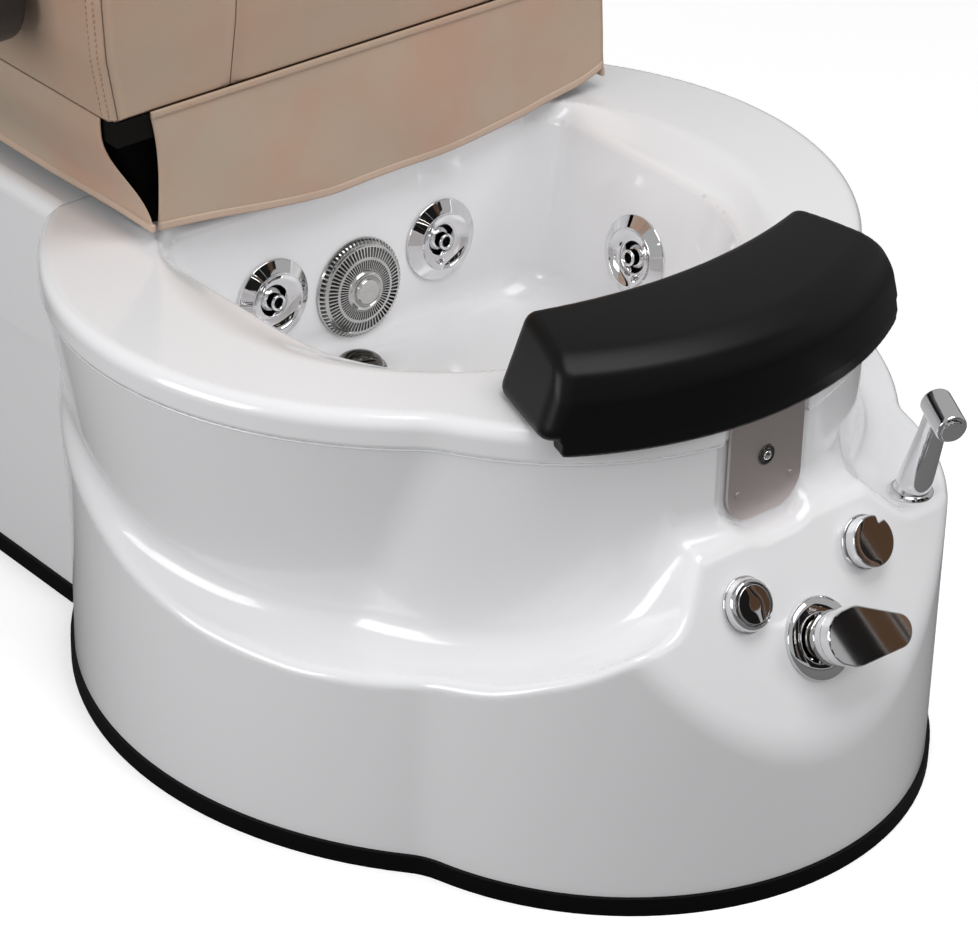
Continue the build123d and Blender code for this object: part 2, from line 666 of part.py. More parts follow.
def shower_head():
    """Round spray head across the handle's top."""
    head = head_place() * Pos(0, 0, 8) * Cylinder(14, 42)
    grip = shower_axis() * Pos(0, 0, SHOWER_H - 14)
    rose = head_place() * Pos(0, 0, 30) * Cylinder(11, 3)
    return head - grip * Box(40, 60, 40, align=(Align.CENTER, Align.CENTER, Align.MAX)) + rose


def footrest_plate():
    """Stainless plate with the lock hole and two screw holes."""
    high = PLATE_TOP_Z - PLATE_LOW_Z
    flat = Pos(0, (PLATE_TOP_Z + PLATE_LOW_Z) / 2) * Rectangle(2 * PLATE_HALF_W, high)
    low = [v for v in flat.vertices() if v.Y < PLATE_LOW_Z + 1]
    flat = fillet(low, PLATE_CORNER_R)
    slot = Pos(0, LOCK_Z) * Rot(0, 0, 90) * SlotOverall(21, 15)
    flat = flat - slot
    for x in (-SCREW_X, SCREW_X):
        flat = flat - Pos(x, SCREW_Z) * Circle(SCREW_R)
    face = Plane(origin=(0, PLATE_BACK_Y - 0.3, 0), x_dir=(1, 0, 0), z_dir=(0, -1, 0))
    return extrude(face * flat, amount=PLATE_T)


def footrest_plate_screws():
    screws = []
    front = PLATE_BACK_Y - 0.3 - PLATE_T
    for x in (-SCREW_X, SCREW_X):
        head = rod(SCREW_HEAD_R, (x, front, SCREW_Z), (x, front - 1.6, SCREW_Z))
        screws.append(head + rod(SCREW_R, (x, front, SCREW_Z), (x, PLATE_BACK_Y + 9, SCREW_Z)))
    return screws


def lock_button():
    """Button pressed inwards to free the footrest post."""
    nose = rod(5, (0, -434, LOCK_Z), (0, -428, LOCK_Z))
    collar = rod(10, (0, PLATE_BACK_Y + 0.1, LOCK_Z), (0, PLATE_BACK_Y + 3, LOCK_Z))
    stem = rod(4, (0, -428, LOCK_Z), (0, HOLDER_FRONT + 1 - 4.5, LOCK_Z))
    return nose + collar + stem


def footrest_holder():
    """Square sleeve behind the front wall, with lugs against the wall."""
    w = POST_W / 2 + RUN_FIT
    d = POST_D / 2 + RUN_FIT
    sleeve = span(-w - HOLDER_T, w + HOLDER_T, POST_Y - d - HOLDER_T, POST_Y + d + HOLDER_T, 262, 438)
    lugs = span(-14, 14, -426, HOLDER_FRONT, 285, 310) + span(-14, 14, -422, HOLDER_FRONT, 370, 392)
    body = sleeve + lugs
    body = body - span(-w, w, POST_Y - d, POST_Y + d, 200, 500)
    return body - rod(4 + RUN_FIT, (0, -430, LOCK_Z), (0, POST_Y, LOCK_Z))


def footrest_post():
    return span(-POST_W / 2, POST_W / 2, POST_Y - POST_D / 2, POST_Y + POST_D / 2, 272, RIM_Z + 0.6)


def arc_end(radius, centre_y, angle, side):
    """The end of an arc about a point behind the pad, at an angle from straight ahead."""
    turn = math.radians(angle)
    return (side * radius * math.sin(turn), centre_y - radius * math.cos(turn))


def pad_plan(inset, reach=0.0):
    """Crescent outline of the footrest, its two ends moved outwards by reach."""
    outer_r = PAD_OUTER_R - inset
    inner_r = PAD_INNER_R + inset
    outer_end = PAD_OUTER_END + math.degrees((reach - inset) / PAD_OUTER_R)
    inner_end = PAD_INNER_END + math.degrees((reach - inset) / PAD_INNER_R)
    outer = ThreePointArc(
        arc_end(outer_r, PAD_OUTER_Y, outer_end, -1), (0, PAD_OUTER_Y - outer_r),
        arc_end(outer_r, PAD_OUTER_Y, outer_end, 1))
    inner = ThreePointArc(
        arc_end(inner_r, PAD_INNER_Y, inner_end, 1), (0, PAD_INNER_Y - inner_r),
        arc_end(inner_r, PAD_INNER_Y, inner_end, -1))
    flat = make_face([outer, Line(outer @ 1, inner @ 0), inner, Line(inner @ 1, outer @ 0)])
    return fillet(flat.vertices(), PAD_CORNER_R)


def footrest_bracket():
    """Steel plate under the pad, welded to the post."""
    return rise(pad_plan(24), RIM_Z + 0.6, RIM_Z + 4.6)


def footrest_pad():
    """Moulded soft pad: slanting ends, a rounded top, and a skirt that hangs in front of the
    rim."""
    shoulder = PAD_TOP_Z - PAD_SHOULDER
    middle = PAD_TOP_Z - PAD_SHOULDER * 0.3
    block = loft([
        Pos(0, 0, RIM_Z + 0.6) * pad_plan(0, PAD_SLANT),
        Pos(0, 0, shoulder) * pad_plan(5, PAD_SLANT * 0.25),
        Pos(0, 0, middle) * pad_plan(9),
        Pos(0, 0, PAD_TOP_Z) * pad_plan(17)], ruled=True)
    skirt = rise(pad_plan(0) - rim_plan(-1), PAD_SKIRT_Z, RIM_Z + 1)
    return block + skirt - footrest_bracket()


def base_frame():
    """Welded floor frame of square tube with the pump's tray."""
    tube = POST_X + FRAME_TUBE / 2
    inner = POST_X - FRAME_TUBE / 2
    frame = span(-tube, -inner, FRAME_FRONT_Y, FRAME_REAR_Y, FRAME_LOW_Z, FRAME_TOP_Z)
    frame = frame + span(inner, tube, FRAME_FRONT_Y, FRAME_REAR_Y, FRAME_LOW_Z, FRAME_TOP_Z)
    for y in (FRAME_FRONT_Y, -75, BREAK_Y + 15, FRAME_REAR_Y - FRAME_TUBE):
        frame = frame + span(-inner - 1, inner + 1, y, y + FRAME_TUBE, FRAME_LOW_Z, FRAME_TOP_Z)
    return frame + span(-inner - 1, inner + 1, -90, 70, FRAME_TOP_Z - 4, FRAME_TOP_Z)


def frame_posts():
    """Posts on the floor frame: four under the bowl and four under the pedestal's top."""
    posts = []
    for x in (-POST_X, POST_X):
        for y in (-60, 60):
            posts.append(span(x - 10, x + 10, y - 10, y + 10, FRAME_TOP_Z,
                              BOWL_FLOOR_Z - BOWL_T - 0.3))
        for y in (270, 595):
            posts.append(span(x - 15, x + 15, y - 15, y + 15, FRAME_TOP_Z,
                              RIM_Z - SHELL_T - 0.3))
    return posts


def levelling_feet():
    feet = []
    top = FRAME_LOW_Z
    for x in (-POST_X, POST_X):
        for y in (FRAME_FRONT_Y + FOOT_IN, BREAK_Y + 30, FRAME_REAR_Y - FOOT_IN):
            feet.append(rod(18, (x, y, 0), (x, y, top - 8)) + rod(6, (x, y, top - 8), (x, y, top)))
    return feet


def pump_motor():
    """Finned motor of the pump."""
    body = rod(48, (-140, 0, 114), (20, 0, 114))
    for k in range(8):
        body = body + rod(54, (-125 + 14 * k, 0, 114), (-120 + 14 * k, 0, 114))
    return body + span(-110, -10, -45, 45, 50.2, 90)


def pump_housing():
    """Wet end with its suction and outlet stubs."""
    body = rod(58, (20.3, 0, 116), (70, 0, 116)) + span(25, 65, -40, 40, 50.2, 100)
    body = body + rod(24, (70, 0, 116), (100, 0, 116)) + rod(20, (45, 0, 160), (45, 0, 205))
    return body


def seat_rails():
    """Two slotted rails bolted to the pedestal top."""
    rails = []
    for x in (-RAIL_X, RAIL_X):
        rail = span(x - RAIL_W / 2, x + RAIL_W / 2, 262, 622, RIM_Z + 0.2, RIM_Z + RAIL_H)
        slot = span(x - 8, x + 8, 250, 640, RIM_Z + 12, RIM_Z + RAIL_H + 1)
        rails.append(rail - slot)
    return rails


def seat_runners():
    """Tongued runners under the seat frame."""
    runners = []
    top = RIM_Z + RAIL_H
    for x in (-RAIL_X, RAIL_X):
        tongue = span(x - 8 + RUN_FIT, x + 8 - RUN_FIT, 370, 615, RIM_Z + 12.2, top + 2)
        flange = span(x - RAIL_W / 2, x + RAIL_W / 2, 370, 615, top + 0.1, FRAME_Z + 5)
        runners.append(tongue + flange)
    return runners


def slide_actuator():
    """Electric cylinder of the seat slide, with its motor and two feet on the pedestal."""
    tube = rod(18, (0, 340, DRIVE_Z), (0, 600, DRIVE_Z)) + span(14, 62, 560, 610, 446, 496)
    for y in (360, 560):
        tube = tube + span(-22, 22, y, y + 30, RIM_Z + 0.2, DRIVE_Z - 8)
    return tube - rod(8 + RUN_FIT, (0, 330, DRIVE_Z), (0, 590, DRIVE_Z))


def slide_rod():
    """Polished rod of the cylinder with its head under the seat frame."""
    head = span(-14, 14, 284, 312, DRIVE_Z - 12, FRAME_Z + 4.8)
    return rod(8, (0, 300, DRIVE_Z), (0, 570, DRIVE_Z)) + head


def seat_frame():
    """Welded tube frame with the hinge plates of the back."""
    low = SEAT_TUBE_Z
    top = low + SEAT_TUBE
    half = SEAT_TUBE / 2
    front = SEAT_FRONT_Y + APRON_BACK
    rear = HINGE_Y + 30
    frame = span(-RAIL_X - half, -RAIL_X + half, front, rear, low, top)
    frame = frame + span(RAIL_X - half, RAIL_X + half, front, rear, low, top)
    for y in (front, front + 130, HINGE_Y - 30):
        frame = frame + span(-RAIL_X, RAIL_X, y, y + SEAT_TUBE, low, top)
    for side in (-1, 1):
        x0 = side * HINGE_PLATE_X
        x1 = side * (HINGE_PLATE_X + HINGE_PLATE_T)
        frame = frame + span(x0, x1, HINGE_Y - 30, rear, top - 5, HINGE_Z + 26)
    return frame - rod(HINGE_PIN_R, (-300, HINGE_Y, HINGE_Z), (300, HINGE_Y, HINGE_Z))


def seat_pan():
    """Board under the cushion, let out for the arm brackets."""
    half = SEAT_HALF_W - PAN_IN
    low = SEAT_TUBE_Z + SEAT_TUBE + PAN_GAP
    pan = span(-half, half, SEAT_FRONT_Y, HINGE_Y - 50, low, SEAT_LOW_Z - 0.4)
    y0 = ARM_PIVOT_Y - 30
    for side in (-1, 1):
        pan = pan - span(side * 190, side * (half + 13.5), y0, y0 + 60, SEAT_LOW_Z - 10.6, SEAT_LOW_Z)
    return pan


def seat_section(z, half_w, front, rear):
    flat = Pos(0, (front + rear) / 2) * Rectangle(2 * half_w, rear - front)
    return Pos(0, 0, z) * fillet(flat.vertices(), 26)


def seat_cushion():
    """Soft seat: wider in the middle of its height."""
    rear = SEAT_FRONT_Y + SEAT_DEPTH
    sections = [
        seat_section(SEAT_LOW_Z, SEAT_HALF_W, SEAT_FRONT_Y, rear),
        seat_section(SEAT_TOP_Z - 52, SEAT_HALF_W + SEAT_BULGE, SEAT_FRONT_Y - 14, rear),
        seat_section(SEAT_TOP_Z - 14, SEAT_HALF_W + 16, SEAT_FRONT_Y - 6, rear),
        seat_section(SEAT_TOP_Z, SEAT_HALF_W - 6, SEAT_FRONT_Y + 22, rear - 4),
    ]
    return loft(sections, ruled=True)


def front_apron():
    """Leather apron hung from the seat's front edge, longer in the middle."""
    left, middle, right = APRON_HEM
    top = SEAT_LOW_Z - 1
    sides = Polyline(right, (right[0], top), (left[0], top), left)
    face = Plane(origin=(0, SEAT_FRONT_Y - 0.3, 0), x_dir=(1, 0, 0), z_dir=(0, -1, 0))
    return extrude(face * make_face([sides, ThreePointArc(left, middle, right)]), amount=APRON_T)


def side_aprons():
    """One leather apron down each side of the seat board."""
    aprons = []
    for side in (-1, 1):
        x = side * (SEAT_HALF_W - APRON_IN)
        y = SEAT_FRONT_Y + APRON_BACK
        aprons.append(
            span(x, x + side * APRON_T, y, y + 450, SIDE_APRON_LOW_Z, SEAT_LOW_Z - 11))
    return aprons


def back_place():
    """Frame of the back: hinge at the origin, leaning backwards."""
    return Pos(0, HINGE_Y, HINGE_Z) * Rot(-BACK_LEAN, 0, 0)


def back_plate():
    """Stiff board inside the back, with the two hinge arms."""
    half = BACK_HALF_W - BACK_PLATE_IN
    low = BACK_PLATE_LOW
    plate = span(-half, half, 0.3, BACK_PLATE_T, low, BACK_H - BACK_PLATE_DROP)
    for side in (-1, 1):
        x0 = side * BACK_ARM_X
        x1 = side * (BACK_ARM_X + BACK_ARM_T)
        plate = plate + span(x0, x1, -20, BACK_PLATE_T, -20, low - 10)
        plate = plate + span(x0, x1, 0.3, BACK_PLATE_T, low - 11, low + 1)
    return back_place() * (plate - rod(HINGE_PIN_R + JET_FIT, (-300, 0, 0), (300, 0, 0)))


def recline_drive():
    """Gear motor round the hinge pin, on the rear tube of the seat frame."""
    case = rod(24, (-70, HINGE_Y, HINGE_Z), (70, HINGE_Y, HINGE_Z))
    low = SEAT_TUBE_Z + SEAT_TUBE + 0.3
    case = case + span(-30, 30, HINGE_Y - 20, HINGE_Y + 10, low, HINGE_Z)
    end = HINGE_PLATE_X + HINGE_PLATE_T + 4
    return case + rod(HINGE_PIN_R, (-end, HINGE_Y, HINGE_Z), (end, HINGE_Y, HINGE_Z))


def back_outline(inset, low, high):
    """Front view of the back: narrower and rounder at the top."""
    w = BACK_HALF_W - inset
    outline = Polyline((-w + 12, low), (w - 12, low), (w, low + 240), (w - 34, high),
                       (-w + 34, high), (-w, low + 240), close=True)
    flat = make_face(outline)
    tops = [v for v in flat.vertices() if v.Y > high - 1]
    flat = fillet(tops, 90)
    lows = [v for v in flat.vertices() if v.Y < low + 1]
    return fillet(lows, 40)


def back_cushion():
    """Soft back, rounded at its front edges."""
    flat = back_outline(0, 66, BACK_H)
    face = Plane(origin=(0, 0, 0), x_dir=(1, 0, 0), z_dir=(0, -1, 0))
    pad = extrude(face * flat, amount=70)
    pad = fillet(pad.edges().group_by(Axis.Y)[0], 28)
    return back_place() * pad


def back_shell():
    """Moulded cover over the rear of the back."""
    face = Plane(origin=(0, 0.3, 0), x_dir=(1, 0, 0), z_dir=(0, -1, 0))
    shell = extrude(face * back_outline(-4, 62, BACK_H + 4), amount=-BACK_PLATE_T - 12)
    shell = fillet(shell.edges().group_by(Axis.Y)[-1], 20)
    room = extrude(face * back_outline(4, 40, BACK_H - 8), amount=-BACK_PLATE_T)
    return back_place() * (shell - room)


def arm_outline(y0, y1, z0, z1, r):
    flat = Pos((y0 + y1) / 2, (z0 + z1) / 2) * Rectangle(y1 - y0, z1 - z0)
    return fillet(flat.vertices(), r)


def arm_shell(side):
    """Dark moulded side panel of the armrest."""
    flat = arm_outline(ARM_FRONT_Y, ARM_REAR_Y, ARM_LOW_Z, ARM_TOP_Z, 42)
    body = extrude(Plane.YZ * flat, amount=ARM_X1 - ARM_X0)
    body = fillet(body.edges().group_by(Axis.X)[-1] + body.edges().group_by(Axis.X)[0], 9)
    body = Pos(ARM_X0, 0, 0) * body
    if side < 0:
        body = mirror(body, about=Plane.YZ)
    bore = rod(8 + JET_FIT, (side * 300, ARM_PIVOT_Y, ARM_PIVOT_Z),
               (side * (ARM_X0 + 46.3), ARM_PIVOT_Y, ARM_PIVOT_Z))
    return body - bore


def arm_pad(side):
    """Padded top of the armrest."""
    x0 = side * (ARM_X0 + 2)
    x1 = side * (ARM_X1 - 2)
    pad = span(x0, x1, ARM_FRONT_Y + 30, ARM_REAR_Y - 30, ARM_TOP_Z + 0.3, ARM_TOP_Z + ARM_PAD_T)
    return fillet(pad.edges().group_by(Axis.Z)[-1], 12)


def arm_brackets():
    """Steel angles from the seat board up the cushion's sides, with the arms' pivot pins."""
    low = SEAT_LOW_Z - 10.4
    y0 = ARM_PIVOT_Y - 25
    y1 = y0 + 50
    outer = ARM_X0 - 1
    brackets = []
    for side in (-1, 1):
        foot = span(side * 191, side * outer, y0, y1, low, low + 9.6)
        upright = span(side * (outer - 6), side * outer, y0, y1, low, ARM_PIVOT_Z + 24)
        end = (side * (ARM_X0 + 46), ARM_PIVOT_Y, ARM_PIVOT_Z)
        brackets.append(foot + upright + rod(8, (side * (outer - 4), ARM_PIVOT_Y, ARM_PIVOT_Z), end))
    return brackets


def build_parts():
    """Every node by name."""
    seats = jet_seats()
    parts = {
        "tub_shell": tub_shell(),
        "basin": basin(),
        "tub_kick_strip": tub_kick_strip(),
        "pedestal_kick_strip": pedestal_kick_strip(),
        "pedestal_shell": pedestal_shell(),
        "service_panel": service_panel(),
        "service_panel_screws": service_panel_screws(),
        "jet_faces": [jet_face(seat) for seat in seats],
        "jet_bodies": [jet_body(seat) for seat in seats],
        "suction_cover": suction_cover(),
        "suction_body": suction_body(),
        "drain_flange": drain_flange(),
        "drain_stopper": drain_stopper(),
        "drain_tail": drain_tail(),
        "push_button_bezel": push_button_bezel(),
        "push_button_cap": push_button_cap(),
        "diverter_base": diverter_base(),
        "diverter_knob": diverter_knob(),
        "console_nuts": console_nuts(),
        "mixer_escutcheon": mixer_escutcheon(),
        "mixer_valve": mixer_valve(),
        "mixer_collar": mixer_collar(),
        "mixer_lever": mixer_lever(),
        "shower_flange": shower_flange(),
        "shower_handle": shower_handle(),
        "shower_head": shower_head(),
        "footrest_plate": footrest_plate(),
        "footrest_plate_screws": footrest_plate_screws(),
        "lock_button": lock_button(),
        "footrest_holder": footrest_holder(),
        "footrest_post": footrest_post(),
        "footrest_bracket": footrest_bracket(),
        "footrest_pad": footrest_pad(),
        "base_frame": base_frame(),
        "frame_posts": frame_posts(),
        "levelling_feet": levelling_feet(),
        "pump_motor": pump_motor(),
        "pump_housing": pump_housing(),
        "seat_rails": seat_rails(),
        "seat_runners": seat_runners(),
        "slide_actuator": slide_actuator(),
        "slide_rod": slide_rod(),
        "seat_frame": seat_frame(),
        "seat_pan": seat_pan(),
        "seat_cushion": seat_cushion(),
        "front_apron": front_apron(),
        "side_aprons": side_aprons(),
        "recline_drive": recline_drive(),
        "back_plate": back_plate(),
        "back_cushion": back_cushion(),
        "back_shell": back_shell(),
        "arm_brackets": arm_brackets(),
    }
    for name, seat in zip(("rear_left", "rear_right", "side_left", "side_right"), seats):
        parts["jet_nozzle_" + name] = jet_nozzle(seat)
    for name, side in (("left", -1), ("right", 1)):
        parts["arm_shell_" + name] = arm_shell(side)
        parts["arm_pad_" + name] = arm_pad(side)
    return parts


def write(name, shape, shift):
    """One STEP file for one node, moved to the chair's own origin."""
    shapes = shape if isinstance(shape, list) else [shape]
    moved = [Pos(0, shift, 0) * solid for one in shapes for solid in one.solids()]
    body = moved[0] if len(moved) == 1 else Compound(children=moved)
    body.label = name
    export_step(body, f"parts/{name}.step")


os.makedirs("parts", exist_ok=True)
nodes = build_parts()
boxes = [solid.bounding_box() for shape in nodes.values()
         for solid in (shape if isinstance(shape, list) else [shape])]
front_y = min(one.min.Y for one in boxes)
rear_y = max(one.max.Y for one in boxes)
shift_y = -(front_y + rear_y) / 2
print("shift", shift_y, "front", front_y, "rear", rear_y)
for node_name, node_shape in nodes.items():
    write(node_name, node_shape, shift_y)
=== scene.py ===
import math
import bpy
import numpy as np
from mathutils import Matrix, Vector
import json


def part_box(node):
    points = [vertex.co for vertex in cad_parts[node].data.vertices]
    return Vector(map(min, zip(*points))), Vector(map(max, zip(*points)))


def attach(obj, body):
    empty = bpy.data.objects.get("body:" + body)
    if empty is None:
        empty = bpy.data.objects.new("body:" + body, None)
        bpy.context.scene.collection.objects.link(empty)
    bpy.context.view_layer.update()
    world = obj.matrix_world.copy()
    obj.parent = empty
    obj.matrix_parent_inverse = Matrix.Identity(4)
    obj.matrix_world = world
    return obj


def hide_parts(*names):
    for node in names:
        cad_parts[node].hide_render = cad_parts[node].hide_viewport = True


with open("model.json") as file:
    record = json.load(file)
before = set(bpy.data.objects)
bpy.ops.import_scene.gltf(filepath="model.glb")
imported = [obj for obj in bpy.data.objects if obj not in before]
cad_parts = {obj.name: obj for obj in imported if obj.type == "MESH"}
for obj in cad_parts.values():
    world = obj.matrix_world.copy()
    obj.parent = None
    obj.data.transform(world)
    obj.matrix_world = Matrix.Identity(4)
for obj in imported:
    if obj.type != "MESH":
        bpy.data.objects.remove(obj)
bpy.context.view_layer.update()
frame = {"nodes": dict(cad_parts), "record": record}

# ---------------------------------------------------------------- the tub's outer shell
# Vacuum-formed glossy acrylic: a lobed foot, a sweeping shelf pressed in above it, and a hump
# in front that carries the taps. Bonded under the basin's rim along a fine parting line.
TUB_REACH = 0.438                         # from the tub's middle to the front of its rim
TUB_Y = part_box("basin")[0].y + TUB_REACH  # the tub's middle, where its own frame starts
TUB_REAR_Y = 0.2398                       # its flat rear, against the pedestal
RIM_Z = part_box("basin")[1].z
PARTING_Z = RIM_Z - 0.033
SHELL_STEP = 0.005                        # size of the surface's cells
SHELL_WALL = 0.012
SHELL_FOOT_Z = 0.003
SHELL_LAP = 0.003                         # how far the shell is let up into the rim
RIM_OVAL = (0.401, 0.359, -0.007)         # half width, half depth and middle
RIM_LOBE_R, RIM_LOBE_Y = 0.288, -0.150
FOOT_OVAL = (0.393, 0.393, -0.055)
FOOT_LOBE_R, FOOT_LOBE_Y = 0.295, -0.254
WALL_LOBE_R = 0.284
WALL_DRAW, WALL_LAP = 0.039, 0.003        # how far the wall draws in at its foot, at its top
WALL_LOW_Z, WALL_HEIGHT = 0.190, 0.217
SHELF_EDGE_R = 0.010                      # roundings
SHELF_FOOT_R = 0.034
HUMP_FOOT_R = 0.026
HUMP_BLEND = 0.034
PINCH = 0.008
FACE_EDGE = 0.010
POCKET_R = 0.010                          # the flat pocket round the stainless plate
POCKET_CORNER_R = 0.034
POCKET_HALF_W, POCKET_Y = 0.0485, -0.4298
POCKET_LOW_Z, POCKET_TOP_Z = 0.3165, 0.4262
FACE_LEAN = math.radians(61.5)
FACE_Y, FACE_Z = -0.545, 0.151            # a point of the tap face, in the tub's own frame
ACRYLIC = (0.87, 0.87, 0.885)


def round_join(a, b, r):
    """Union of two distance fields, its inside corner filled with radius r."""
    corner = r - np.hypot(np.maximum(r - a, 0), np.maximum(r - b, 0))
    return np.where((a < r) & (b < r), corner, np.minimum(a, b))


def round_meet(a, b, r):
    """What two distance fields share, its outside edge rounded with radius r."""
    return -round_join(-a, -b, r)


def soft_join(a, b, k):
    """Union of two fields that meet at a shallow angle, blended where they differ by under k."""
    h = np.maximum(k - np.abs(a - b), 0) / k
    return np.minimum(a, b) - h * h * k / 4


def soft_meet(a, b, k):
    """What two fields that meet at a shallow angle share, blended in the same way."""
    return -soft_join(-a, -b, k)


def lobed(x, y, w, d, y0, front_r, front_y):
    """Signed distance to a wide oval joined to a round front lobe by a soft pinch. The oval's
    distance is its first-order one: k0 (k0 - 1) / k1, with k1 the length of k0's slope."""
    k0 = np.hypot(x / w, (y - y0) / d)
    k1 = np.maximum(np.hypot(x / w**2, (y - y0) / d**2), 1e-4)
    return soft_join(k0 * (k0 - 1) / k1, np.hypot(x, y - front_y) - front_r, PINCH)


def smooth_line(points, spread, low, high):
    """A height line through (place, height) points, softened at its corners by a running
    mean of the given spread, as a pair of arrays for np.interp."""
    s = np.linspace(low, high, 1201)
    at, height = np.array(points, float).T
    line = np.interp(s, at, height)
    half = max(1, int(spread / (s[1] - s[0]) / 2))
    kernel = np.hanning(2 * half + 3)
    padded = np.pad(line, half + 1, mode="edge")
    return s, np.convolve(padded, kernel / kernel.sum(), mode="valid")


def slope_limit(u, v, line):
    """Signed distance to the area under a height line: u along it, v upwards."""
    s, h = line
    return (v - np.interp(u, s, h)) / np.hypot(1, np.interp(u, s, np.gradient(h, s)))


def field_slope(field, q):
    """The direction in which a field of signed distances grows, at the points q, from its
    values a short way h to either side along each axis."""
    h = 4e-4
    g = np.stack([field(*(q + h * d).T) - field(*(q - h * d).T) for d in np.eye(3)], axis=1)
    return g / (2 * h)


def settle(field, q, times):
    """The points q pulled along the field's slope on to its zero surface, by q - f g / |g|^2."""
    for _ in range(times):
        g = field_slope(field, q)
        q = q - g * (field(*q.T) / np.maximum((g**2).sum(1), 0.2))[:, None]
    return q


def surface_piece(name, field, low, high, step, material):
    """A closed surface where a field of signed distances is zero. Space is cut into cubes;
    each cube that the surface crosses gets one point, which is pulled along the field's slope
    on to the surface, evened out among its neighbours and pulled back; each grid line that
    crosses the surface gives one four-sided face. Normals are the field's slope."""
    low = np.array(low, float)
    axes = [np.arange(a, b + step, step) for a, b in zip(low, high)]
    value = field(*np.meshgrid(*axes, indexing="ij"))
    inside = value < 0
    parts = [inside[i:i - 1 or None, j:j - 1 or None, k:k - 1 or None]
             for i in (0, 1) for j in (0, 1) for k in (0, 1)]
    count = np.sum(parts, axis=0, dtype=np.int8)
    crossed = (count > 0) & (count < 8)
    index = np.full(crossed.shape, -1, np.int64)
    index[crossed] = np.arange(crossed.sum())
    faces, hits = [], []
    for a in range(3):
        b, c = (a + 1) % 3, (a + 2) % 3
        first = np.take(inside, range(inside.shape[a] - 1), axis=a)
        second = np.take(inside, range(1, inside.shape[a]), axis=a)
        e = np.argwhere(first != second)
        e = e[(e[:, b] > 0) & (e[:, c] > 0)
              & (e[:, b] < crossed.shape[b]) & (e[:, c] < crossed.shape[c])]
        eb, ec = np.eye(3, dtype=int)[[b, c]]
        quad = np.stack([index[tuple(q.T)] for q in (e - eb - ec, e - ec, e, e - eb)], axis=1)
        turned = ~first[tuple(e.T)]
        quad[turned] = quad[turned][:, ::-1]
        faces.append(quad)
        v0, v1 = value[tuple(e.T)], value[tuple((e + np.eye(3, dtype=int)[a]).T)]
        hits.append(low + (e + np.outer(v0 / (v0 - v1), np.eye(3)[a])) * step)
    faces, hits = np.concatenate(faces), np.concatenate(hits)
    share = np.bincount(faces.ravel(), minlength=crossed.sum())[:, None]
    p = np.stack([np.bincount(faces.ravel(), np.repeat(hits[:, d], 4), crossed.sum())
                  for d in range(3)], axis=1) / np.maximum(share, 1)
    p = settle(field, p, 3)
    ends = np.concatenate([faces[:, [i, (i + 1) % 4]] for i in range(4)])
    number = np.bincount(ends.ravel(), minlength=len(p))[:, None]
    for _ in range(4):
        total = np.stack([np.bincount(ends[:, 0], p[ends[:, 1], d], len(p))
                          + np.bincount(ends[:, 1], p[ends[:, 0], d], len(p))
                          for d in range(3)], axis=1)
        p = settle(field, 0.4 * p + 0.6 * total / number, 2)
    normals = field_slope(field, p)
    normals = normals / np.maximum(np.linalg.norm(normals, axis=1), 1e-9)[:, None]
    mesh = bpy.data.meshes.new(name)
    mesh.from_pydata(p.tolist(), [], faces.tolist())
    mesh.polygons.foreach_set("use_smooth", np.ones(len(faces), bool))
    mesh.normals_split_custom_set_from_vertices(normals.tolist())
    mesh.materials.append(material)
    piece = bpy.data.objects.new(name, mesh)
    bpy.context.scene.collection.objects.link(piece)
    return piece


def finish(name, colour, rough, metal=0.0, coat=0.0):
    """A plain material of one colour and gloss, and its main shader node."""
    material = bpy.data.materials.new(name)
    material.use_nodes = True
    shader = material.node_tree.nodes["Principled BSDF"]
    shader.inputs["Base Color"].default_value = (*colour, 1)
    shader.inputs["Roughness"].default_value = rough
    shader.inputs["Metallic"].default_value = metal
    shader.inputs["Coat Weight"].default_value = coat
    shader.inputs["Coat Roughness"].default_value = 0.05
    return material, shader


acrylic, _ = finish("white_acrylic", ACRYLIC, 0.22, coat=0.6)
SHELF = smooth_line(
    [(-0.570, 0.352), (-0.500, 0.287), (-0.450, 0.247), (-0.380, 0.216), (-0.300, 0.201),
     (-0.220, 0.196), (-0.120, 0.202), (-0.020, 0.218), (0.070, 0.246), (0.150, 0.274),
     (0.260, 0.300), (0.420, 0.312)], 0.06, -0.62, 0.42)
HUMP_TOP = smooth_line(
    [(-0.300, 0.0), (-0.152, 0.235), (-0.132, 0.264), (-0.116, 0.294), (-0.094, 0.321),
     (0.110, 0.321), (0.146, 0.284), (0.400, 0.284)], 0.014, -0.40, 0.40)


def drawn_in(x, y, inset, front_r):
    """The rim's outline moved inwards by inset, with a front lobe of radius front_r."""
    w, d, y0 = RIM_OVAL
    return lobed(x, y, w - inset, d - inset, y0, front_r, RIM_LOBE_Y)


def rim_plan(x, y, inset):
    """Signed distance to the rim's outline at an inset."""
    return drawn_in(x, y, inset, RIM_LOBE_R - inset)


def shell_outside(x, y, z):
    """The shell's outer form: the foot under its shelf and hump, and the drawn-in wall."""
    tap_face = (y - FACE_Y) * -math.sin(FACE_LEAN) + (z - FACE_Z) * math.cos(FACE_LEAN)
    foot = lobed(x, y, *FOOT_OVAL, FOOT_LOBE_R, FOOT_LOBE_Y)
    top = soft_join(slope_limit(y, z, SHELF), slope_limit(x, z, HUMP_TOP), HUMP_BLEND)
    foot = soft_meet(round_meet(foot, top, SHELF_EDGE_R), tap_face, FACE_EDGE)
    up = np.clip((z - WALL_LOW_Z) / WALL_HEIGHT, -0.3, 1)
    wall = drawn_in(x, y, WALL_DRAW * (1 - up) + WALL_LAP, WALL_LOBE_R)
    body = round_join(foot, wall, np.interp(y, (-0.44, -0.36), (HUMP_FOOT_R, SHELF_FOOT_R)))
    return round_meet(body, -pocket(x, y, z), POCKET_R)


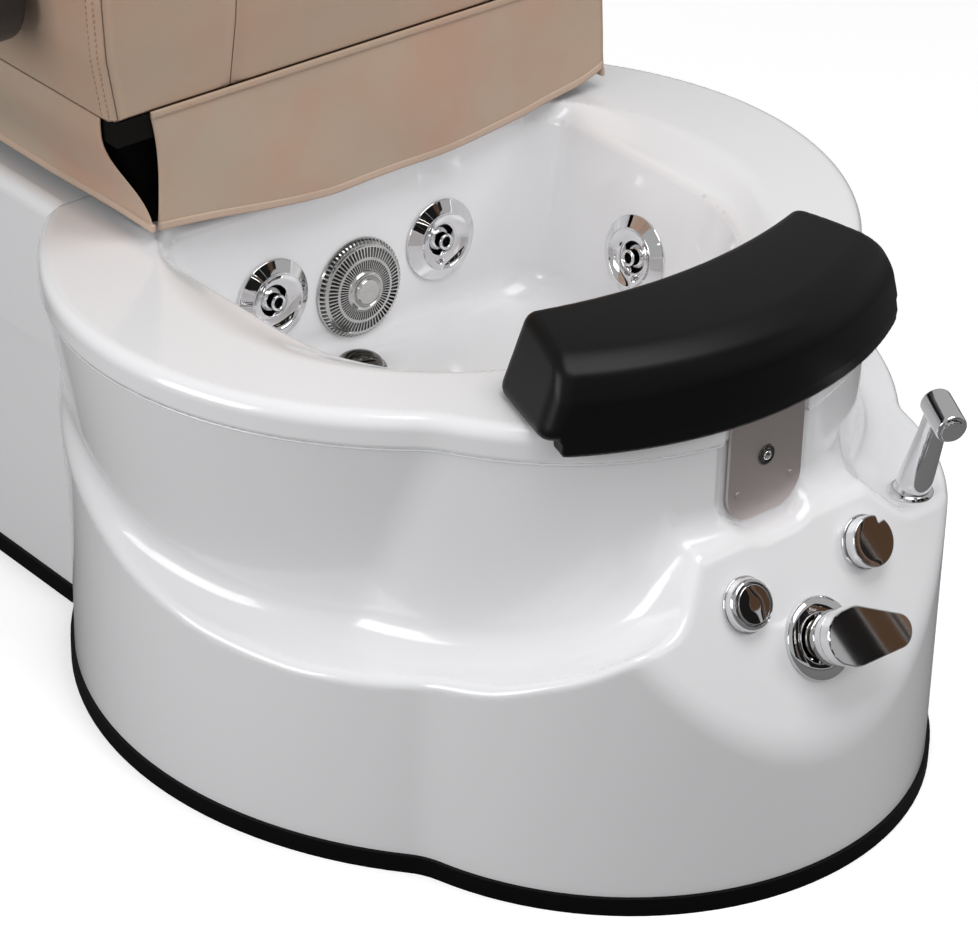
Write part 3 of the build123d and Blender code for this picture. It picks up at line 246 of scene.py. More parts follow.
def pocket(x, y, z):
    """Room in front of the flat that carries the stainless plate, round at its lower corners."""
    front = round_meet(np.abs(x) - POCKET_HALF_W, POCKET_LOW_Z - z, POCKET_CORNER_R)
    return np.maximum(np.maximum(front, y - POCKET_Y), z - POCKET_TOP_Z)


def tub_shell(x, y, z):
    """The outer form less the same form a wall's thickness further in, open above and below,
    cut off flat at the rear."""
    y = y - TUB_Y
    out = shell_outside(x, y, z)
    wall = np.maximum(out, -(out + SHELL_WALL))
    wall = np.maximum(wall, np.maximum(SHELL_FOOT_Z - z, z - PARTING_Z - SHELL_LAP))
    return np.maximum(wall, y - TUB_REAR_Y)


shell = surface_piece("tub_shell_skin", tub_shell, (-0.41, TUB_Y - 0.565, -0.005),
                      (0.415, TUB_Y + 0.25, PARTING_Z + 0.01), SHELL_STEP, acrylic)
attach(shell, "tub")
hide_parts("tub_shell")

# ---------------------------------------------------------------- the basin
# One glossy acrylic moulding: the broad flat rim with its rolled lip, dipping to the bowl's
# edge, and the bowl with a flat back wall. It drops into the shell from above.
BASIN_STEP = 0.0042
BOWL_EDGE_Z, BOWL_FLOOR_Z = 0.427, 0.243
BOWL_DEPTH = BOWL_EDGE_Z - BOWL_FLOOR_Z
BOWL_WALL = 0.010
BOWL_HALF_W, BOWL_SIDE_LEAN = 0.213, 0.032      # at the floor, and how much more at the edge
BOWL_REAR_Y, BOWL_REAR_LEAN = 0.131, 0.015
BOWL_FRONT_R, BOWL_FRONT_LEAN = 0.220, 0.0314
BOWL_MIDDLE_Y, BOWL_MIDDLE_LEAN = -0.030, -0.0036
BOWL_SIDE_R, BOWL_CORNER_R = 0.012, 0.045       # roundings
BOWL_EDGE_R, BOWL_FOOT_R = 0.007, 0.030
LIP_R, LIP_LOW_R, PLATE_POCKET_R = 0.014, 0.005, 0.004
LIP_WALL, RIM_SLAB = 0.020, 0.022               # thicknesses of the lip and of the flat rim
BOWL_TOP_Z = 0.425                              # where the bowl's shell runs into the rim
RIM_FLAT_W, RIM_FLAT_D, RIM_FLAT_Y = 0.306, 0.262, -0.030   # the oval where the flat rim ends
RIM_FLAT_SPAN = 0.28                            # turns the oval's measure into a distance
JET_BORE_R, DRAIN_BORE_R = 0.0242, 0.021
SEALANT_R, SEALANT_INSET = 0.0012, 0.0030
SEALANT_Z = PARTING_Z - 0.0002
SEALANT_END_Y, SEALANT_GAP_X = 0.235, 0.050
RAYS, RAYS_FROM = 720, 0.10                     # from a point in front of the tub's middle
ROD_SIDEWAYS = (0.31, 0.95, 0.11)               # a direction that no seam or bead runs in
BORE_REACH = 0.025                              # to either side of the wall
JET_SPREAD, JET_Z = 0.104, 0.327
SIDE_JET_Y, SIDE_JET_Z = -0.014, 0.330
DRAIN_X, DRAIN_Y = -0.028, 0.097
ACROSS, UPWARD = np.array((1, 0, 0)), np.array((0, 0, 1))


def bowl_plan(x, y, t):
    """Distance to the bowl's outline: t is 0 at its floor and 1 at its edge."""
    w, rear = BOWL_HALF_W + BOWL_SIDE_LEAN * t, BOWL_REAR_Y + BOWL_REAR_LEAN * t
    r, middle = BOWL_FRONT_R + BOWL_FRONT_LEAN * t, BOWL_MIDDLE_Y + BOWL_MIDDLE_LEAN * t
    front = np.hypot(x, np.minimum(y - middle, 0)) - r
    side = soft_meet(front, np.abs(x) - w, BOWL_SIDE_R)
    return round_meet(side, y - rear, BOWL_CORNER_R)


def wall_frame(x, z):
    """Origin and axes of a fitting on the bowl's back wall, the third axis out of it."""
    t = (z - BOWL_FLOOR_Z) / BOWL_DEPTH
    lean = math.atan2(BOWL_REAR_LEAN, BOWL_DEPTH)
    out = np.array((0, -math.cos(lean), math.sin(lean)))
    return np.array((x, TUB_Y + BOWL_REAR_Y + BOWL_REAR_LEAN * t, z)), ACROSS, out


def side_frame(side):
    """The same for the jet on one of the bowl's side walls."""
    t = (SIDE_JET_Z - BOWL_FLOOR_Z) / BOWL_DEPTH
    lean = math.atan2(BOWL_SIDE_LEAN, BOWL_DEPTH)
    out = np.array((-side * math.cos(lean), 0, math.sin(lean)))
    wall_x = side * (BOWL_HALF_W + BOWL_SIDE_LEAN * t)
    return np.array((wall_x, TUB_Y + SIDE_JET_Y, SIDE_JET_Z)), np.array((0, side, 0)), out


def bored(x, y, z, place, radius):
    """Signed distance to a round bore through the wall at a fitting's place: the distance from
    its axis less its radius, within a short length to either side of the wall."""
    origin, _, out = place
    dx, dy, dz = x - origin[0], y - origin[1] + TUB_Y, z - origin[2]
    along = dx * out[0] + dy * out[1] + dz * out[2]
    square = dx**2 + dy**2 + dz**2 - along**2
    return np.maximum(np.sqrt(np.maximum(square, 1e-12)) - radius, np.abs(along) - BORE_REACH)


JETS = [("rear_left", wall_frame(-JET_SPREAD, JET_Z)), ("rear_right", wall_frame(JET_SPREAD, JET_Z)),
        ("side_left", side_frame(-1)), ("side_right", side_frame(1))]
DRAIN = (np.array((DRAIN_X, TUB_Y + DRAIN_Y, BOWL_FLOOR_Z)), ACROSS, UPWARD)
BOWL_HOLES = [(place, JET_BORE_R) for _, place in JETS] + [(DRAIN, DRAIN_BORE_R)]


def basin(x, y, z):
    """Rim slab and bowl shell, less the bowl's room. The top falls from the flat rim to the
    bowl's edge along a soft S between two outlines."""
    y = y - TUB_Y
    t = (z - BOWL_FLOOR_Z) / BOWL_DEPTH
    edge = bowl_plan(x, y, 1.0)
    oval = np.hypot(x / RIM_FLAT_W, (y - RIM_FLAT_Y) / RIM_FLAT_D) - 1
    oval = np.maximum(oval, -1) * RIM_FLAT_SPAN
    share = np.clip(-oval / np.maximum(edge - oval, 1e-4), 0, 1)
    top = RIM_Z - (RIM_Z - BOWL_EDGE_Z) * share**2 * (3 - 2 * share)
    slab = round_meet(rim_plan(x, y, 0.0), z - top, LIP_R)
    slab = round_meet(slab, PARTING_Z - z, LIP_LOW_R)
    hollow = np.maximum(rim_plan(x, y, LIP_WALL), z - RIM_Z + RIM_SLAB)
    slab = np.maximum(slab, -hollow)
    room = round_meet(bowl_plan(x, y, t), BOWL_FLOOR_Z - z, BOWL_FOOT_R)
    bowl = np.maximum(room - BOWL_WALL, z - BOWL_TOP_Z)
    body = np.minimum(slab, bowl)
    body = round_meet(body, -room, BOWL_EDGE_R)
    body = round_meet(body, -pocket(x, y, z), PLATE_POCKET_R)
    for place, radius in BOWL_HOLES:
        body = np.maximum(body, -bored(x, y, z, place, radius))
    return np.maximum(body, y - TUB_REAR_Y)


basin_piece = surface_piece("basin_skin", basin, (-0.41, TUB_Y - 0.445, 0.23),
                            (0.415, TUB_Y + 0.25, 0.446), BASIN_STEP, acrylic)
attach(basin_piece, "tub")
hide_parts("basin")


def mesh_piece(name, points, faces, material, body, slot):
    """A piece of the chair from points and faces, smooth, moving with a body."""
    mesh = bpy.data.meshes.new(name)
    mesh.from_pydata(np.asarray(points).tolist(), [], faces)
    mesh.polygons.foreach_set("use_smooth", np.ones(len(mesh.polygons), bool))
    mesh.materials.append(material)
    piece = bpy.data.objects.new(name, mesh)
    bpy.context.scene.collection.objects.link(piece)
    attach(piece, body)
    return piece


def ring_faces(rings, columns, start=0, closed=False):
    """Four-sided faces between rings of points that follow one another, each ring closed on
    itself, as one row of four point numbers for each face. Closed: the last ring meets the
    first one again."""
    number = start + np.arange(rings * columns).reshape(rings, columns)
    near = number if closed else number[:-1]
    far = np.roll(number, -1, axis=0)[:len(near)]
    corners = [near, np.roll(near, -1, axis=1), np.roll(far, -1, axis=1), far]
    return np.stack(corners, axis=-1).reshape(-1, 4)


def thin_rods(paths, radius, sides=6):
    """Points and faces of closed round rods along paths, which are arrays of places: each
    place p has the ring p + radius (cos a side + sin a up), square to the path there."""
    points, faces, start = [], [], 0
    ring = np.linspace(0, 2 * math.pi, sides, endpoint=False)[None, :, None]
    for path in paths:
        along = np.gradient(path, axis=0)
        along = along / np.linalg.norm(along, axis=1)[:, None]
        side = np.cross(along, ROD_SIDEWAYS)
        side = side / np.linalg.norm(side, axis=1)[:, None]
        up = np.cross(along, side)
        rings = path[:, None] + radius * (np.cos(ring) * side[:, None]
                                          + np.sin(ring) * up[:, None])
        points.append(rings.reshape(-1, 3))
        faces += ring_faces(len(path), sides, start).tolist()
        end = start + len(path) * sides
        faces += [list(range(start, start + sides))[::-1], list(range(end - sides, end))]
        start = end
    return np.concatenate(points), faces


def outline(inset):
    """The rim's outline at an inset, found by halving along rays from a point inside it."""
    angle = np.linspace(0, 2 * math.pi, RAYS)
    near, far = np.full(RAYS, 0.10), np.full(RAYS, 0.60)
    for _ in range(30):
        middle = (near + far) / 2
        inside = rim_plan(middle * np.cos(angle), middle * np.sin(angle) - RAYS_FROM, inset) < 0
        near, far = np.where(inside, middle, near), np.where(inside, far, middle)
    return near * np.cos(angle), near * np.sin(angle) - RAYS_FROM


# a fine bead of sealant along the parting line, broken at the plate's pocket and at the rear
x, y = outline(SEALANT_INSET)
sealed = (y < SEALANT_END_Y) & ((np.abs(x) > SEALANT_GAP_X) | (y > 0))
runs = np.split(np.arange(len(x)), np.flatnonzero(np.diff(sealed.astype(int))) + 1)
bead_paths = [np.stack([x[run], y[run] + TUB_Y, np.full(len(run), SEALANT_Z)], axis=1)
              for run in runs if sealed[run[0]] and len(run) > 4]
mesh_piece("rim_sealant", *thin_rods(bead_paths, SEALANT_R, sides=10), acrylic, "tub",
           "white_acrylic")

# ---------------------------------------------------------------- the footrest pad
# Soft foam moulded in one piece under black synthetic leather. Its ends slant, its top is
# slightly crowned, and a skirt hangs in front of the rim. It sits on a steel plate.
PAD_STEP = 0.004
PAD_REST_Z = RIM_Z + 0.0009
PAD_TOP_Z, PAD_FOOT_Z = 0.518, 0.450
PAD_OUTER_R, PAD_OUTER_Y = 0.379, -0.068        # the outer and the inner arc
PAD_INNER_R, PAD_INNER_Y = 0.500, 0.184
PAD_END_X, PAD_END_Y = 0.1849, -0.282           # a point of the end plane, and its direction
PAD_END_OUT = (0.951, 0.309)
PAD_END_SLANT = 0.33                            # how the ends and the front lean in upwards
PAD_FACE_SLANT = 0.14
PAD_CROWN, PAD_CHAMFER = 0.012, 0.012
PAD_FRONT_CORNER_R, PAD_REAR_CORNER_R, PAD_SIDES_R = 0.018, 0.014, 0.010
PAD_TOP_R, PAD_CHAMFER_R, PAD_UNDER_R = 0.011, 0.020, 0.013
SKIRT_LOW_Z, SKIRT_TOP_Z = 0.428, 0.462
SKIRT_SHORT, SKIRT_GAP, SKIRT_R = 0.019, 0.0012, 0.004
PLATE_INSET, PLATE_DEPTH = 0.0215, 0.0042       # room for the pad's steel plate


def leather(name, colour, rough, grain, depth, other=None):
    """Coated leather: pebbled grain, bumps of the given size and depth in metres, clouded
    towards another tone in patches about an eighth of a metre across."""
    other = other or [1.1 * c for c in colour]
    material, shader = finish(name, colour, rough)
    tree = material.node_tree
    place = tree.nodes.new("ShaderNodeTexCoord").outputs["Object"]
    cells = tree.nodes.new("ShaderNodeTexVoronoi")
    cells.inputs["Scale"].default_value = 1 / grain
    bump = tree.nodes.new("ShaderNodeBump")
    bump.inputs["Strength"].default_value = 0.35
    bump.inputs["Distance"].default_value = depth
    cloud = tree.nodes.new("ShaderNodeTexNoise")
    cloud.inputs["Scale"].default_value = 8
    spread = tree.nodes.new("ShaderNodeMapRange")
    spread.inputs["From Min"].default_value = 0.36
    spread.inputs["From Max"].default_value = 0.64
    tone = tree.nodes.new("ShaderNodeMix")
    tone.data_type = "RGBA"
    tone.inputs["A"].default_value = (*colour, 1)
    tone.inputs["B"].default_value = (*other, 1)
    tree.links.new(place, cells.inputs["Vector"])
    tree.links.new(place, cloud.inputs["Vector"])
    tree.links.new(cells.outputs["Distance"], bump.inputs["Height"])
    tree.links.new(bump.outputs["Normal"], shader.inputs["Normal"])
    tree.links.new(cloud.outputs["Fac"], spread.inputs["Value"])
    tree.links.new(spread.outputs["Result"], tone.inputs["Factor"])
    tree.links.new(tone.outputs["Result"], shader.inputs["Base Color"])
    return material, shader


BLACK = (0.0030, 0.0028, 0.0032)
black_leather, black_shader = leather("black_leather", BLACK, 0.36, 0.0011, 0.00008)
black_shader.inputs["Specular IOR Level"].default_value = 0.20


def pad_plan(x, y, z):
    """The crescent: an outer and an inner arc, cut off by two ends that slant outwards."""
    lean = PAD_FACE_SLANT * np.maximum(z - PAD_REST_Z, 0)
    outer = np.hypot(x, y - PAD_OUTER_Y) - PAD_OUTER_R + lean
    inner = PAD_INNER_R - np.hypot(x, y - PAD_INNER_Y)
    end = (np.abs(x) - PAD_END_X) * PAD_END_OUT[0] + (y - PAD_END_Y) * PAD_END_OUT[1]
    return outer, inner, end


def footrest_pad(x, y, z):
    """The crescent under a top that falls gently outwards, its lower edge curling under where
    it stands on the rim, with the skirt outside the rim between the two ends."""
    y = y - TUB_Y
    outer, inner, end = pad_plan(x, y, z)
    across = np.clip(inner / np.minimum(inner + outer, -1e-4), 0, 1)
    top = z - PAD_TOP_Z + PAD_CROWN * across**2
    slant = (end + PAD_END_SLANT * (z - PAD_FOOT_Z)) / math.hypot(1, PAD_END_SLANT)
    body = round_meet(round_meet(outer, slant, PAD_FRONT_CORNER_R),
                      round_meet(inner, slant, PAD_REAR_CORNER_R), PAD_SIDES_R)
    body = round_meet(round_meet(body, top, PAD_TOP_R), outer + top + PAD_CHAMFER, PAD_CHAMFER_R)
    body = round_meet(body, PAD_REST_Z - z, PAD_UNDER_R)
    skirt = np.maximum(np.maximum(outer, outer + z - SKIRT_TOP_Z), end + SKIRT_SHORT)
    skirt = np.maximum(skirt, -rim_plan(x, y, -SKIRT_GAP))
    skirt = round_meet(skirt, SKIRT_LOW_Z - z, SKIRT_R)
    body = np.minimum(body, skirt)
    plate = np.maximum(np.maximum(outer, inner), end) + PLATE_INSET
    return np.maximum(body, -np.maximum(plate, z - PAD_REST_Z - PLATE_DEPTH))


pad = surface_piece("footrest_pad_skin", footrest_pad, (-0.245, TUB_Y - 0.455, 0.422),
                    (0.245, TUB_Y - 0.262, 0.522), PAD_STEP, black_leather)
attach(pad, "footrest")
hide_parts("footrest_pad")

# ---------------------------------------------------------------- the seat cushion
# Foam under tan synthetic leather, sewn from panels: a broad middle one and two side ones in
# front, and a boxed side. A topstitched binding runs down each front corner.
SEAT_STEP = 0.005
SEAT_LOW_Z, SEAT_TOP_Z = 0.570, 0.742
SEAT_FRONT_Y, SEAT_REAR_Y = 0.127, 0.601
SEAT_SEAM_X = 0.157
SEAM_DIP, SEAM_WIDTH = 0.0032, 0.009
SEAT_CROWN, CROWN_HALF_W, CROWN_HALF_D, CROWN_Y = 0.014, 0.31, 0.26, 0.36
SEAT_CORNER_R, SEAT_REAR_R, SEAT_TOP_R, SEAT_LOW_R = 0.013, 0.030, 0.034, 0.002
BINDING_H, BINDING_AT, BINDING_HALF_W = 0.0012, 0.010, 0.006
SEAM_R, STITCH_R = 0.0006, 0.00055
STITCH_GAP, STITCH_LENGTH = 0.0062, 0.0042
STITCH_ROWS = (0.006, 0.013)                    # how far behind the corner's seam
SEAM_POINTS = 60
SEAT_WIDTH = smooth_line([(0.54, 0.2905), (0.570, 0.2925), (0.640, 0.311), (0.700, 0.3175),
                          (0.80, 0.316)], 0.02, 0.54, 0.80)
SEAT_LEAN = smooth_line([(0.54, -0.003), (0.570, 0.0), (0.640, 0.010), (0.700, 0.014),
                         (0.80, 0.010)], 0.03, 0.54, 0.80)
PAN_CLEAR = 0.0003                              # between a cushion and what it lies on
TAN, TAN_COOL = (0.50, 0.335, 0.245), (0.47, 0.355, 0.262)
APRON_TAN, APRON_COOL = (0.495, 0.320, 0.235), (0.465, 0.368, 0.280)
HEM_TAN = (0.50, 0.37, 0.285)
tan_leather, tan_shader = leather("tan_leather", TAN, 0.40, 0.0013, 0.00012, TAN_COOL)
tan_shader.inputs["Specular IOR Level"].default_value = 0.35
seam_dark, _ = finish("seam_thread", (0.15, 0.10, 0.072), 0.8)


def dip(s, seam, depth, width):
    """How deep a sewn seam draws the cover in: a bell curve of the distance from it."""
    return depth * np.exp(-((s - seam) / width)**2)


def seat_cushion(x, y, z):
    """A boxed cushion, wider half way up, crowned on top and drawn in along its seams."""
    y = y - TUB_Y
    low, wide = SEAT_WIDTH
    lean_at, lean = SEAT_LEAN
    middle = dip(np.abs(x), SEAT_SEAM_X, SEAM_DIP, SEAM_WIDTH)
    side = np.abs(x) - np.interp(z, low, wide)
    front = SEAT_FRONT_Y - np.interp(z, lean_at, lean) - y + middle
    crown = (SEAT_CROWN * (1 - np.clip(np.abs(x) / CROWN_HALF_W, 0, 1)**2)
             * (1 - ((y - CROWN_Y) / CROWN_HALF_D)**2))
    top = z - SEAT_TOP_Z - crown + 1.6 * middle
    plan = round_meet(side, front, SEAT_CORNER_R)
    plan = round_meet(plan, y - SEAT_REAR_Y, SEAT_REAR_R)
    binding = np.exp(-((side - front + BINDING_AT) / BINDING_HALF_W)**4)
    plan = plan - BINDING_H * (binding * (side > -0.02) * (front > -0.02))
    plan = round_meet(plan, top, SEAT_TOP_R)
    return round_meet(plan, SEAT_LOW_Z + PAN_CLEAR - z, SEAT_LOW_R)


seat = surface_piece("seat_cushion_skin", seat_cushion, (-0.33, TUB_Y + 0.095, 0.562),
                     (0.335, TUB_Y + 0.615, 0.775), SEAT_STEP, tan_leather)
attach(seat, "seat")
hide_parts("seat_cushion")


def stitches(line):
    """Short arched stitches along a line of places and outward directions."""
    places, outward = line
    run = np.concatenate([[0], np.cumsum(np.linalg.norm(np.diff(places, axis=0), axis=1))])
    lift = np.array([-0.0003, 0.0004, 0.0004, -0.0003])
    paths = []
    for s in np.arange(STITCH_GAP, run[-1] - STITCH_GAP, STITCH_GAP):
        at = s + STITCH_LENGTH * np.linspace(-0.5, 0.5, 4)
        middle = np.stack([np.interp(at, run, places[:, d]) for d in range(3)], axis=1)
        out = np.stack([np.interp(at, run, outward[:, d]) for d in range(3)], axis=1)
        paths.append(middle + out * lift[:, None])
    return paths


def on_skin(field, places):
    """Places pulled on to a skin, with the skin's outward directions there."""
    q = settle(field, np.array(places, float), 6)
    out = field_slope(field, q)
    return q, out / np.linalg.norm(out, axis=1)[:, None]


seam_paths, stitch_paths = [], []
heights = np.linspace(SEAT_LOW_Z + 0.002, SEAT_TOP_Z - 0.012, SEAM_POINTS)
for sign in (-1, 1):
    width = np.interp(heights, *SEAT_WIDTH)
    lean = np.interp(heights, *SEAT_LEAN)

    def corner_line(back):
        """A line up the corner, the given distance round it from the front panel."""
        x = sign * (width - np.maximum(0.009 - back, 0) * 0.9)
        return on_skin(seat_cushion, np.stack(
            [x, TUB_Y + SEAT_FRONT_Y - lean + back, heights], axis=1))
    seam_paths.append(corner_line(0.0)[0])
    for back in STITCH_ROWS:
        stitch_paths += stitches(corner_line(back))
    seam_x = np.full(SEAM_POINTS, sign * SEAT_SEAM_X)
    up_front = np.stack([seam_x, TUB_Y + SEAT_FRONT_Y - lean, heights], axis=1)
    seam_paths.append(on_skin(seat_cushion, up_front)[0])
    along = np.linspace(SEAT_FRONT_Y + 0.012, SEAT_REAR_Y - 0.03, SEAM_POINTS)
    over_top = np.stack([seam_x, TUB_Y + along, np.full(SEAM_POINTS, SEAT_TOP_Z + 0.006)], axis=1)
    seam_paths.append(on_skin(seat_cushion, over_top)[0])
mesh_piece("seat_seams", *thin_rods(seam_paths, SEAM_R), seam_dark, "seat", "tan_leather")
stitch_thread, _ = finish("stitch_thread", (0.42, 0.30, 0.21), 0.6)
mesh_piece("seat_stitches", *thin_rods(stitch_paths, STITCH_R), stitch_thread, "seat",
           "tan_leather")

# ---------------------------------------------------------------- the aprons
# Tan synthetic leather sheets hung from the seat's lower edge, hemmed along the bottom. The
# front one sags in a long curve; the side ones lean in towards the bowl.
APRON_T, HEM_T, HEM_H = 0.0014, 0.0036, 0.0075
APRON_TOP_Z = SEAT_LOW_Z - 0.0010
APRON_LEFT_X, APRON_RIGHT_X = -0.2505, 0.296
SIDE_TOP_X, SIDE_LOW_Z, SIDE_REAR_Y = 0.2898, 0.4560, 0.590
LEAN_TOP_Z, LEAN_HEIGHT = 0.552, 0.092          # where the side sheets start to swing sideways
BOWL_REACH = 0.036                              # how far the left one leans to the bowl
FRONT_HEM = smooth_line(
    [(-0.30, 0.458), (-0.247, 0.453), (-0.161, 0.443), (-0.042, 0.430), (0.094, 0.431),
     (0.196, 0.439), (0.274, 0.455), (0.32, 0.478)], 0.05, -0.30, 0.32)
apron_leather, apron_shader = leather("apron_leather", APRON_TAN, 0.45, 0.0013, 0.00012,
                                      APRON_COOL)
apron_shader.inputs["Specular IOR Level"].default_value = 0.32
hem_leather, _ = leather("hem_leather", HEM_TAN, 0.5, 0.0013, 0.00012)


def cloth_grid(place, across, down, thick):
    """Points and faces of a thin closed sheet: two layers either side of a curved surface,
    which place(u, v) gives for u along it and v down it, both from 0 to 1."""
    u, v = np.meshgrid(np.linspace(0, 1, across), np.linspace(0, 1, down), indexing="ij")
    middle = np.stack(place(u, v), axis=-1)
    out = np.cross(np.gradient(middle, axis=0), np.gradient(middle, axis=1))
    out = out / np.linalg.norm(out, axis=-1)[..., None] * thick / 2
    layers = np.stack([middle + out, middle - out]).reshape(-1, 3)
    far = across * down
    number = np.arange(far).reshape(across, down)
    front = np.stack([number[:-1, :-1], number[1:, :-1], number[1:, 1:], number[:-1, 1:]], -1)
    front = front.reshape(-1, 4)
    edge = np.concatenate([number[:-1, 0], number[-1, :-1], number[:0:-1, -1], number[0, :0:-1]])
    after = np.roll(edge, -1)
    rim = np.stack([edge, edge + far, after + far, after], axis=1)
    return layers, np.concatenate([front, front[:, ::-1] + far, rim]).tolist()


def front_apron(u, v):
    """Straight along the seat's lower edge, longer in the middle, with slack ripples: the
    depth behind the seat's front is a sum of sines, nought along the top."""
    x = APRON_LEFT_X + 0.004 * v + 0.006 * np.sin(math.pi * v) * (1 - u)
    x = x + (APRON_RIGHT_X - x) * u
    z = APRON_TOP_Z + (np.interp(x, *FRONT_HEM) - APRON_TOP_Z) * v
    slack = 0.5 + 0.28 * np.sin(13 * x + 2.5 * v) + 0.22 * np.sin(31 * x - 3 * v + 1)
    y = SEAT_FRONT_Y - 0.0016 - 0.0085 * slack * np.sin(math.pi * np.minimum(v, 0.75) / 1.5)
    return x, TUB_Y + y, z


def swung(z):
    """How far a side sheet has swung sideways at a height, from 0 to 1 along a soft S."""
    lean = np.clip((LEAN_TOP_Z - z) / LEAN_HEIGHT, 0, 1)
    return lean**2 * (3 - 2 * lean)


def side_apron(reach, start_top, start_low):
    """A side sheet, hung from the seat's side and swung sideways by reach at its foot. Its
    front edge runs from start_top to start_low."""
    def place(u, v):
        z = APRON_TOP_Z + (SIDE_LOW_Z - SEAT_LOW_Z) * v
        x = reach * swung(z) - SIDE_TOP_X
        start = start_top + (start_low - start_top) * v**1.6
        y = start + (SIDE_REAR_Y - start) * u
        ripple = 0.5 + 0.3 * np.sin(17 * y + 2 * v) + 0.2 * np.sin(37 * y - 4 * v + 2)
        return x - 0.005 * ripple * v * (1 - 0.4 * v), TUB_Y + y, z
    return place


def mirrored(place):
    """The same sheet on the other side of the chair, its faces still outwards."""
    def other(u, v):
        x, y, z = place(1 - u, v)
        return -x, y, z
    return other


def hem_of(place):
    """The folded strip along a sheet's lower edge, a little thicker than the sheet."""
    def strip(u, v):
        x, y, z = place(u, np.ones_like(u))
        return x, y, z - 0.0006 + HEM_H * (1 - v)
    return strip


def flipped(place):
    """The same sheet with its faces turned round."""
    return lambda u, v: place(1 - u, v)


def hang(name, place, nodes, hem_name):
    """One apron with its hem, as a sheet on the seat. Its places are also worked out on a fine grid,
    which nothing uses.
    """
    apron = mesh_piece(name, *cloth_grid(place, 110, 28, APRON_T), apron_leather, "seat",
                       "tan_leather")
    hem = mesh_piece(hem_name, *cloth_grid(hem_of(place), 110, 5, HEM_T), hem_leather, "seat",
                     "tan_leather")
    if nodes:
        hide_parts(*nodes)
    corners = np.stack(place(*np.meshgrid(np.linspace(0, 1, 200), np.linspace(0, 1, 60),
                                          indexing="ij")), axis=-1)


hang("front_apron_sheet", flipped(front_apron), ["front_apron"], "front_hem")
hang("side_apron_left", side_apron(BOWL_REACH, 0.148, 0.117), ["side_aprons"],
     "side_hem_left")
hang("side_apron_right", mirrored(side_apron(-0.008, 0.124, 0.121)), [],
     "side_hem_right")


WELT_OVER, WELT_H, WELT_OUT, WELT_T = 0.0022, 0.0072, 0.0028, 0.0024


def welt(u, v):
    """The narrow turned-over strip between the seat and the front apron."""
    x = APRON_LEFT_X + (APRON_RIGHT_X - APRON_LEFT_X) * u
    z = SEAT_LOW_Z + WELT_OVER - WELT_H * v
    return x, TUB_Y + SEAT_FRONT_Y - WELT_OUT + 0 * u, z


mesh_piece("apron_welt", *cloth_grid(flipped(welt), 80, 4, WELT_T), tan_leather, "seat",
           "tan_leather")

# a near-black sheet in the gap under the seat, where the aprons' open corner lies in shade: painted
# shade, not a part of the chair
SHADE_CLOTH_T, SHADE_CLOTH_FLAT = 0.0010, (0.265, 0.100)
SHADE_CLOTH_TOP_Z, SHADE_CLOTH_LOW_Z = 0.5440, 0.4470
SHADE_CLOTH_X, SHADE_CLOTH_REAR_Y = 0.2800, 0.330
SHADE_CLOTH_SIDE, SHADE_CLOTH_FRONT, SHADE_CLOTH_BEND_R = 0.171, 0.070, 0.012
BEND_FROM, BEND_TO = 0.45, 0.55                 # the share of its length where it turns


def painted_shade_cloth(u, v):
    """A near-black sheet hung under the seat behind the aprons' open corner, painted shade for the
    dark gap there: along the side, round the corner and a short way across the front."""
    z = SHADE_CLOTH_TOP_Z + (SHADE_CLOTH_LOW_Z - SHADE_CLOTH_TOP_Z) * v
    turn = np.clip((u - BEND_FROM) / (BEND_TO - BEND_FROM), 0, 1) * math.pi / 2
    along = np.minimum(u, BEND_FROM) / BEND_FROM
    across = np.maximum(u - BEND_TO, 0) / (1 - BEND_TO)
    x = BOWL_REACH * swung(z) - SHADE_CLOTH_X + SHADE_CLOTH_BEND_R * (1 - np.cos(turn)) + SHADE_CLOTH_FRONT * across
    y = SHADE_CLOTH_REAR_Y - SHADE_CLOTH_SIDE * along - SHADE_CLOTH_BEND_R * np.sin(turn)
    return x, TUB_Y + y, z


# painted shade: a matt near-black finish for the sheet that stands in for the gap's shadow
shade_cloth_look, shade_cloth_shader = finish("painted_shade_black", (0.0025, 0.0025, 0.0025), 1.0)
shade_cloth_shader.inputs["Specular IOR Level"].default_value = 0.05
cloth = mesh_piece("painted_shade_cloth", *cloth_grid(painted_shade_cloth, 60, 12, SHADE_CLOTH_T), shade_cloth_look, "seat",
                   "dark_paint")

# ---------------------------------------------------------------- the back cushion
# Foam under the same leather on a leaning board: crowned between side bolsters, with two
# seams sewn across. The board hinges behind the seat.
BACK_HINGE_Y, BACK_HINGE_Z = 0.660, 0.600
BACK_LEAN = math.radians(14)
BACK_STEP = 0.006
BACK_LOW, BACK_TOP = 0.068, 0.688               # heights up the board
BACK_SEAMS, BACK_SEAM_DIP, BACK_SEAM_W = (0.250, 0.450), 0.010, 0.012
BOLSTER_X, BOLSTER_DIP, BOLSTER_W = 0.19, 0.010, 0.014
BACK_THICK, BACK_CROWN, BACK_CROWN_HALF_W = 0.058, 0.010, 0.28
BACK_CROWN_AT, BACK_CROWN_HALF_H = 0.37, 0.34
BACK_TOP_R, BACK_LOW_R, BACK_FRONT_R, BACK_REAR_R = 0.085, 0.040, 0.030, 0.006
BOARD_CLEAR = 0.0004
BACK_EDGE = smooth_line([(0.0, 0.262), (0.066, 0.268), (0.306, 0.279), (0.690, 0.246)],
                        0.05, 0.0, 0.72)


